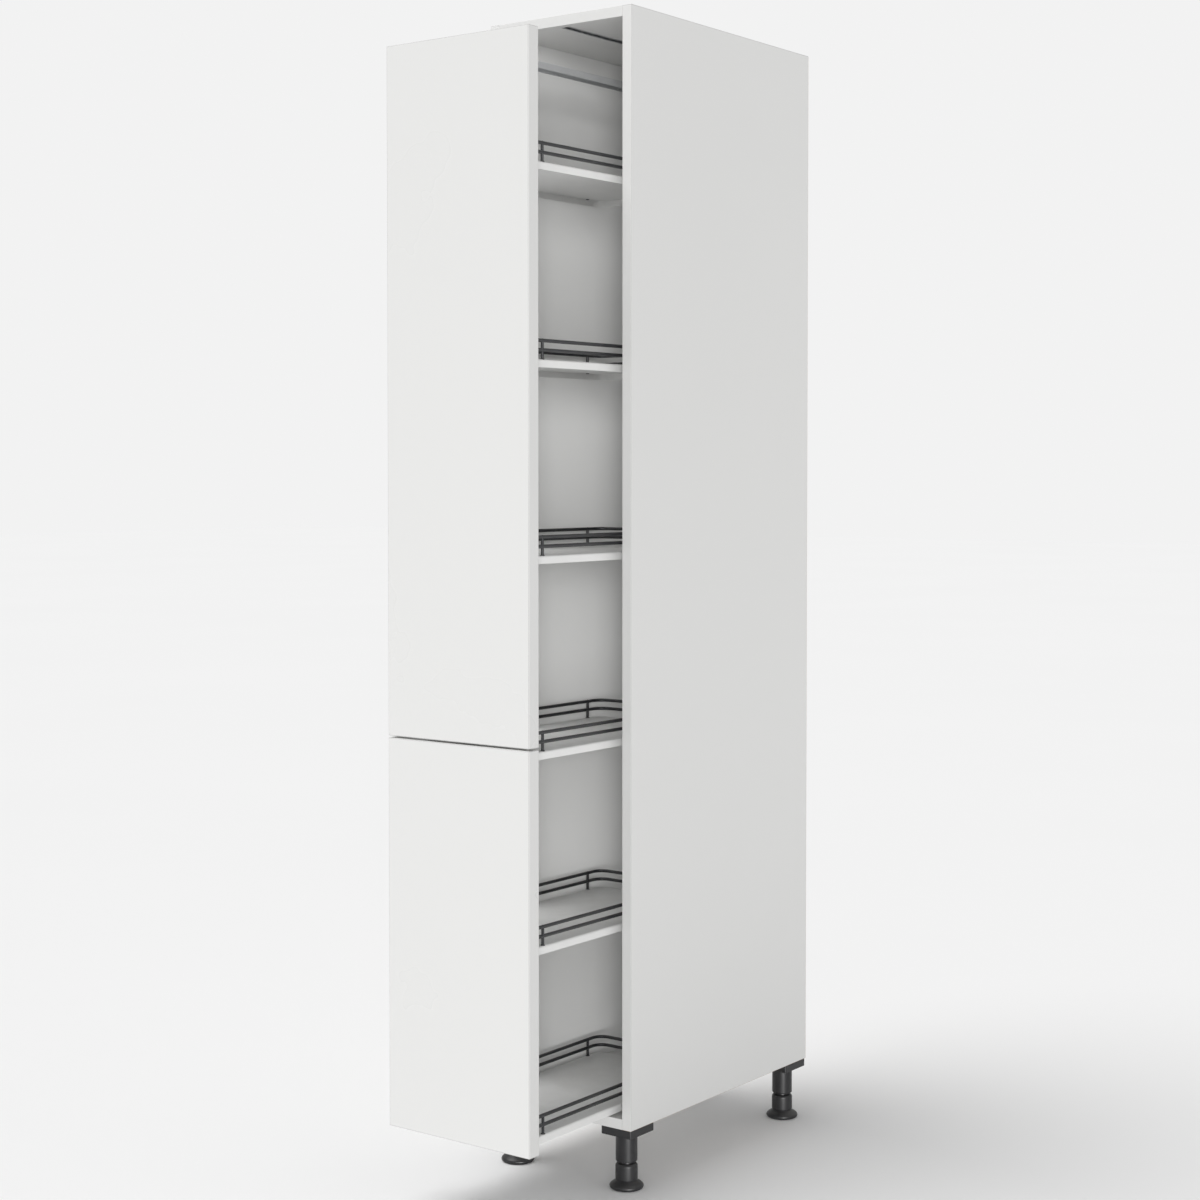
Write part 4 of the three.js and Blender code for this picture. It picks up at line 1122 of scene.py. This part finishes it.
def guide_axle(index):
    """Axle: a head below, the pin, and the riveted end above the roller."""
    low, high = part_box(f"guide_axle_{index}")
    x, y = (low.x + high.x) / 2, (low.y + high.y) / 2
    head = (high.x - low.x) / 2
    pin = AXLE_PIN
    top = high.z - MM
    profile = [
        (0, low.z), (head - 0.5 * MM, low.z), (head, low.z + 0.5 * MM), (head, low.z + 1.6 * MM),
        (head - 0.4 * MM, low.z + 2 * MM), (pin, low.z + 2 * MM), (pin, top),
        (pin + 1.5 * MM, top), (pin + 1.1 * MM, top + 0.5 * MM),
        (pin * 0.6, top + 0.9 * MM), (0, high.z),
    ]
    bm = turned(profile, 28)
    bmesh.ops.translate(bm, vec=(x, y, 0), verts=bm.verts)
    new_piece(f"axle_{index}", bm, "pull_out", BRIGHT_STEEL, [f"guide_axle_{index}"])


def make_sliding_frame():
    upright("front_upright", 1)
    upright("rear_upright", -1)
    top_bar()
    bar = block(*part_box("bottom_bar"), BAR_EDGE, 2)
    new_piece("bottom_bar_flat", bar, "pull_out", FRAME_PAINT, ["bottom_bar"])
    guide_bracket()
    strip_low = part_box("guide_bracket")[0]
    seat = strip_low.z + STRIP
    y = strip_low.y + STRIP_SCREW_FROM_END
    places = [(0, y, seat, "up"), (0, y + STRIP_SCREW_PITCH, seat, "up")]
    screws("guide_screws", "pull_out", places)
    for index in ROLLERS:
        guide_roller(index)
        guide_axle(index)


# ------------------------------------------------------------------ trays and galleries


def upright_faces(bm):
    return [f for f in bm.faces if abs(f.normal.z) < 0.1]


def tray(index):
    """Pressed tray: one sheet with its edge turned down, open over the runner at both ends."""
    low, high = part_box(f"tray_{index}")
    size = high - low
    bm = rounded_plan(size.x, size.y, TRAY_CORNER, 12)
    rim = [e for e in bm.edges if e.is_boundary]
    run_straight(bm, rim, (0, 0, -size.z))
    bevel(bm, [e for e in bm.edges if e.calc_face_angle(0) > math.radians(60)], TRAY_BEND, 4)
    for side in (1, -1):
        skirt = upright_faces(bm)
        edges = list({e for f in skirt for e in f.edges})
        corners = list({v for f in skirt for v in f.verts})
        bmesh.ops.bisect_plane(
            bm, geom=skirt + edges + corners, dist=1e-7,
            plane_co=(side * RUNNER_GAP / 2, 0, 0), plane_no=(1, 0, 0),
        )
    over_runner = [
        f for f in upright_faces(bm)
        if abs(f.normal.y) > 0.9 and abs(f.calc_center_median().x) < RUNNER_GAP / 2
    ]
    bmesh.ops.delete(bm, geom=over_runner, context="FACES")
    middle = (low + high) / 2
    bmesh.ops.translate(bm, vec=(middle.x, middle.y, high.z), verts=bm.verts)
    new_piece(
        f"tray_{index}_sheet", bm, "pull_out", TRAY_PAINT, [f"tray_{index}"],
        sheet=(TRAY_SHEET, -1.0), edge=0.5 * MM,
    )


def rail_loop(width, length, radius):
    """A closed loop of round wire in plan, round the origin."""
    bm = bmesh.new()
    bmesh.ops.create_circle(bm, segments=12, radius=WIRE / 2, cap_ends=False)
    quarter = Matrix.Rotation(math.pi / 2, 3, "Y")
    bmesh.ops.rotate(bm, cent=(0, 0, 0), matrix=quarter, verts=bm.verts)
    bmesh.ops.translate(bm, vec=(0, -length / 2, 0), verts=bm.verts)
    ring = bm.edges[:]
    x = width / 2 - radius
    y = length / 2 - radius
    legs = (
        ((x, 0, 0), (x, -y, 0)),
        ((0, 2 * y, 0), (x, y, 0)),
        ((-2 * x, 0, 0), (-x, y, 0)),
        ((0, -2 * y, 0), (-x, -y, 0)),
    )
    for way, centre in legs:
        ring = run_straight(bm, ring, way)
        ring = run_round(bm, ring, centre, 90, 9)
    run_straight(bm, ring, (x, 0, 0))
    bmesh.ops.remove_doubles(bm, verts=bm.verts[:], dist=5e-6)
    return bm


def bead(size):
    """A weld bead: a small flattened ball."""
    bm = bmesh.new()
    bmesh.ops.create_uvsphere(bm, u_segments=12, v_segments=8, radius=0.5)
    bmesh.ops.scale(bm, vec=size, verts=bm.verts)
    return bm


def hook(tip):
    """One hook, cut from plate: its outline in Y and Z out to its tip, carried across."""
    bm = bmesh.new()
    root = tip - HOOK_REACH - HOOK_ROOT
    lip = tip - HOOK_THROAT
    low = HOOK_RISE
    outline = [
        (root, low + 5 * MM), (lip, low + 5 * MM), (lip, low + 0.3 * MM),
        (tip - MM, low + 0.3 * MM), (tip, low + 5 * MM), (tip, low + 13 * MM),
        (tip - 2 * MM, low + 15 * MM), (root, low + 15 * MM),
    ]
    face = bm.faces.new([bm.verts.new((0, y, z)) for y, z in outline])
    made = bmesh.ops.extrude_face_region(bm, geom=[face], use_keep_orig=True)["geom"]
    bmesh.ops.translate(bm, vec=(HOOK_WIDTH, 0, 0), verts=verts_of(made))
    bmesh.ops.translate(bm, vec=(-HOOK_WIDTH / 2, 0, 0), verts=bm.verts)
    bmesh.ops.recalc_face_normals(bm, faces=bm.faces[:])
    bevel(bm, sharp_edges(bm, 30), 0.3 * MM, 2)
    return bm


def strut(foot):
    """An upright of a gallery, from its wider foot under the tray to the top rail."""
    radius = STRUT / 2
    wide = radius + STRUT_FOOT
    return turned([
        (0, foot), (wide, foot), (wide, foot + 0.8 * MM), (radius, foot + 0.9 * MM),
        (radius, TOP_RAIL), (0, TOP_RAIL),
    ], 14)


def weld_ring():
    """The weld round a strut, where it comes up through the tray."""
    inside = STRUT / 2 - 0.1 * MM
    return turned([
        (inside, 0.1 * MM), (STRUT / 2 + 1.4 * MM, 0.1 * MM), (STRUT / 2 + 1.2 * MM, 0.8 * MM),
        (inside, 1.2 * MM), (inside, 0.1 * MM),
    ], 16)


def hook_plate(reach):
    """The plate at one end of a gallery, with two hooks that reach out, and its weld beads."""
    width, thickness = HOOK_PLATE
    low = MID_RAIL - WIRE / 2 - HOOK_PLATE_BELOW
    height = TOP_RAIL + WIRE / 2 - low
    face = reach - HOOK_REACH - thickness
    bm = bmesh.new()
    flat = plate(width, height, thickness, 3 * MM, edge=0.4 * MM)
    upright_place = move_to(0, face, low + height / 2) @ turn(90, "X")
    add_to(bm, flat, upright_place @ move_to(0, 0, -thickness))
    for side in (-1, 1):
        add_to(bm, hook(reach), move_to(side * HOOK_SPACING / 2, 0, 0))
        for rail in (MID_RAIL, TOP_RAIL - 1.5 * MM):
            place = move_to(side * PLATE_BEAD_X, face, rail - PLATE_BEAD_DROP)
            add_to(bm, bead(PLATE_BEAD), place)
    return bm


def gallery(index):
    """Gallery: two wire rails round the tray, four struts through it, hook plates at its ends."""
    tray_low, tray_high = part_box(f"tray_{index}")
    low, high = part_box(f"gallery_{index}")
    level = tray_high.z
    middle = (tray_low + tray_high) / 2
    width = tray_high.x - tray_low.x - 2 * WIRE_INSET
    length = tray_high.y - tray_low.y - 2 * WIRE_INSET
    bm = bmesh.new()
    for height in (MID_RAIL, TOP_RAIL):
        rail = rail_loop(width, length, TRAY_CORNER - WIRE_INSET)
        add_to(bm, rail, move_to(0, middle.y, level + height))
    strut_y = (tray_high.y - tray_low.y) / 2 - STRUT_FROM_END
    for side in (-1, 1):
        for end in (-1, 1):
            place = move_to(side * width / 2, middle.y + end * strut_y, level)
            add_to(bm, strut(low.z - level), place)
            for height in (MID_RAIL, TOP_RAIL):
                add_to(bm, bead(STRUT_BEAD), place @ move_to(0, 0, height))
            add_to(bm, weld_ring(), place)
    for reach, degrees in ((high.y - middle.y, 0), (middle.y - low.y, 180)):
        place = move_to(0, middle.y, level) @ turn(degrees, "Z")
        add_to(bm, hook_plate(reach), place)
    name = f"gallery_{index}_wires"
    new_piece(name, bm, "pull_out", WIRE_PAINT, [f"gallery_{index}"])


def make_trays():
    for index in TRAYS:
        tray(index)
        gallery(index)


# ------------------------------------------------------------------ ball runner and guide rail


def ball_line(row):
    """Distance of a row of balls from the middle: row 0 runs in the outer races, row 1 inside."""
    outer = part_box("runner_outer")[1].x - RACE_LINE - RUNNER_SHEET / 2
    return outer - row * (2 * RACE_LINE)


def race_section(bm, ball_x, y, height, start, turn_by):
    """The right half of a member's section: a race curled round the ball; returns its start."""
    angle = math.radians(start)
    x = ball_x + RACE_LINE * math.cos(angle)
    first = bm.verts.new((x, y, height + RACE_LINE * math.sin(angle)))
    bmesh.ops.spin(
        bm, geom=[first], cent=(ball_x, y, height), axis=(0, -1, 0),
        angle=math.radians(turn_by), steps=10, use_merge=False,
    )
    return first


def runner_member(node, row, start, turn_by, foot, body):
    """A member of the runner: its web and both races, rolled from one sheet.

    foot gives the web's bend: its distance from the race's first point, and its height.
    """
    low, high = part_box(node)
    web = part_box("runner_outer")[0].z
    bm = bmesh.new()
    first = race_section(bm, ball_line(row), low.y, web + BALL_RISE, start, turn_by)
    bend = bm.verts.new((first.co.x - foot[0], low.y, web + foot[1]))
    bm.edges.new((first, bend))
    bm.edges.new((bend, bm.verts.new((0, low.y, web + foot[1]))))
    half = bm.verts[:] + bm.edges[:]
    bmesh.ops.mirror(bm, geom=half, axis="X", merge_dist=1e-6)
    bmesh.ops.remove_doubles(bm, verts=bm.verts[:], dist=1e-6)
    run_straight(bm, bm.edges[:], (0, high.y - low.y, 0))
    new_piece(
        f"{node}_member", bm, body, ZINC, [node],
        sheet=(RUNNER_SHEET, 0.0), edge=0.2 * MM, smooth=RACE_SMOOTH_UNDER,
    )


def ball_cage(node, row, height, body):
    """Cage: a strip with an ear along each row, and a row of evenly spaced balls along each ear.
    """
    low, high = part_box(node)
    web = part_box("runner_outer")[0].z
    ball_x = ball_line(row)
    foot = web + height
    shoulder = max(foot + 1.2 * MM, web + BALL_RISE - 2.7 * MM)
    top = web + BALL_RISE + 2 * MM
    inward = ball_x - 1.6 * MM
    line = [
        (-ball_x, low.y, top), (-ball_x, low.y, shoulder), (-inward, low.y, foot),
        (inward, low.y, foot), (ball_x, low.y, shoulder), (ball_x, low.y, top),
    ]
    strip = bent_strip(line, (0, high.y - low.y, 0))
    new_piece(
        f"{node}_strip", strip, body, BRIGHT_STEEL, [node],
        sheet=(CAGE_SHEET, 0.0), edge=0.1 * MM,
    )
    balls = bmesh.new()
    pitch = (high.y - low.y) / BALLS_PER_ROW
    for index in range(BALLS_PER_ROW):
        for side in (-1, 1):
            ball = bmesh.new()
            bmesh.ops.create_uvsphere(ball, u_segments=16, v_segments=10, radius=BALL)
            place = (side * ball_x, low.y + (index + 0.5) * pitch, web + BALL_RISE)
            add_to(balls, ball, move_to(*place))
    new_piece(f"{node}_balls", balls, body, BRIGHT_STEEL)


def make_runner():
    rise = RUNNER_SHEET / 2
    slope = RACE_LINE * math.sin(math.radians(RACE_SPAN))
    reach = (BALL_RISE - slope - rise) * math.tan(math.radians(RACE_SPAN))
    runner_member("runner_outer", 0, -RACE_SPAN, 2 * RACE_SPAN, (reach, rise), "carcass")
    middle_web = RUNNER_SHEET + 2 * RUNNER_GAP_TO_BALL + CAGE_SHEET + rise
    runner_member(
        "runner_middle", 0, 180 + RACE_SPAN / 2, -1.5 * RACE_SPAN,
        (RUNNER_SHEET, middle_web), "runner_middle",
    )
    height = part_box("runner_inner")[1].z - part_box("runner_outer")[0].z
    runner_member(
        "runner_inner", 1, 180 - RACE_SPAN, 2 * RACE_SPAN,
        (RUNNER_SHEET, height - rise), "pull_out",
    )
    outer_cage = RUNNER_SHEET + RUNNER_GAP_TO_BALL + CAGE_SHEET / 2
    inner_cage = middle_web + rise + RUNNER_GAP_TO_BALL + CAGE_SHEET / 2
    ball_cage("ball_cage_outer", 0, outer_cage, "ball_cage_outer")
    ball_cage("ball_cage_inner", 1, inner_cage, "ball_cage_inner")


def make_guide_rail():
    """Rail: a lipped channel let flush into the top panel, held by screws in its web."""
    low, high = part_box("guide_rail")
    length = high.y - low.y
    x = high.x - SHEET / 2
    bottom, top = low.z + SHEET / 2, high.z - SHEET / 2
    line = [
        (-x + RAIL_LIP, low.y, bottom), (-x, low.y, bottom), (-x, low.y, top),
        (x, low.y, top), (x, low.y, bottom), (x - RAIL_LIP, low.y, bottom),
    ]
    bm = bent_strip(line, (0, length, 0), RAIL_BEND, 3)
    new_piece(
        "guide_rail_channel", bm, "carcass", ZINC, ["guide_rail"],
        sheet=(SHEET, 0.0), edge=SHEET_EDGE,
    )
    seat = high.z - SHEET + SCREW_HEIGHT - RAIL_SCREW_PROUD
    places = [(0, low.y + share * length, seat, "down") for share in RAIL_SCREWS]
    screws("rail_screws", "carcass", places)


# ------------------------------------------------------------------ floor, light and camera


def make_stage():
    """The plain pale floor."""
    bm = bmesh.new()
    bmesh.ops.create_grid(bm, x_segments=1, y_segments=1, size=FLOOR_REACH)
    mesh = bpy.data.meshes.new("floor")
    bm.to_mesh(mesh)
    bm.free()
    floor = bpy.data.objects.new("floor", mesh)
    bpy.context.scene.collection.objects.link(floor)
    finish = Finish("pale_floor", grain_scale=60.0, tone_scale=0.6)
    finish.colour(mix_colour(finish.tree, finish.tone, (0.89, 0.89, 0.89), (0.91, 0.91, 0.91)))
    finish.roughness(0.75, 0.85)
    finish.set(Specular_IOR_Level=0.0)
    mesh.materials.append(finish.material)


def make_world():
    """Soft light from all round; what the camera sees of it is as pale as the far floor."""
    world = bpy.data.worlds.new("studio")
    world.use_nodes = True
    tree = world.node_tree
    around = tree.nodes["Background"]
    around.inputs["Color"].default_value = (1, 1, 1, 1)
    around.inputs["Strength"].default_value = SKY
    seen = tree.nodes.new("ShaderNodeBackground")
    seen.inputs["Color"].default_value = (1, 1, 1, 1)
    seen.inputs["Strength"].default_value = FAR_FLOOR
    path = tree.nodes.new("ShaderNodeLightPath")
    mix = tree.nodes.new("ShaderNodeMixShader")
    tree.links.new(path.outputs["Is Camera Ray"], mix.inputs["Fac"])
    tree.links.new(around.outputs[0], mix.inputs[1])
    tree.links.new(seen.outputs[0], mix.inputs[2])
    tree.links.new(mix.outputs[0], tree.nodes["World Output"].inputs["Surface"])
    bpy.context.scene.world = world


def soft_sun(name, strength, comes_from, angle):
    data = bpy.data.lights.new(name, "SUN")
    data.energy = strength
    data.angle = math.radians(angle)
    light = bpy.data.objects.new(name, data)
    light.rotation_euler = Vector(comes_from).to_track_quat("Z", "Y").to_euler()
    bpy.context.scene.collection.objects.link(light)


def strip_light(name, starts, place, target, size, power):
    """A strip of light that falls only on the pieces whose names start with one of these words."""
    data = bpy.data.lights.new(name, "AREA")
    data.shape = "RECTANGLE"
    data.size, data.size_y = size
    data.energy = power
    light = bpy.data.objects.new(name, data)
    light.location = place
    light.rotation_euler = (Vector(target) - Vector(place)).to_track_quat("-Z", "Y").to_euler()
    bpy.context.scene.collection.objects.link(light)
    light.visible_camera = False
    caught = bpy.data.collections.new(name)
    for thing in bpy.data.objects:
        if thing.name.startswith(starts) and thing.type == "MESH":
            caught.objects.link(thing)
    light.light_linking.receiver_collection = caught


def make_light():
    """Two soft suns, a tall strip for the inside, and a low strip for the dark legs' shine."""
    make_world()
    soft_sun("key", *KEY)
    soft_sun("fill", *FILL)
    strip_light("inner_strip", ("side_panel_left", "back_panel"), *INNER_STRIP)
    strip_light("leg_strip", ("socket_", "tube_", "foot_"), *LEG_STRIP)


def make_camera():
    """The picture's view: turned 36.8 degrees from the front, and looking 1.7 degrees down."""
    data = bpy.data.cameras.new("photo_view")
    data.sensor_width = SENSOR
    data.lens = FOCAL_LENGTH * SENSOR / PICTURE_WIDTH
    data.shift_y = CAMERA_SHIFT
    data.clip_end = FAR_AWAY
    camera = bpy.data.objects.new("photo_view", data)
    camera.location = CAMERA_PLACE
    camera.rotation_euler = (math.radians(90 - CAMERA_DOWN), 0, math.radians(CAMERA_TURN))
    bpy.context.scene.collection.objects.link(camera)
    bpy.context.scene.camera = camera


make_carcass()
make_legs()
make_fronts()
make_front_fittings()
make_sliding_frame()
make_trays()
make_runner()
make_guide_rail()
make_stage()
make_light()
make_camera()

scene = bpy.context.scene
scene.view_settings.view_transform = "Standard"
scene.view_settings.look = "None"
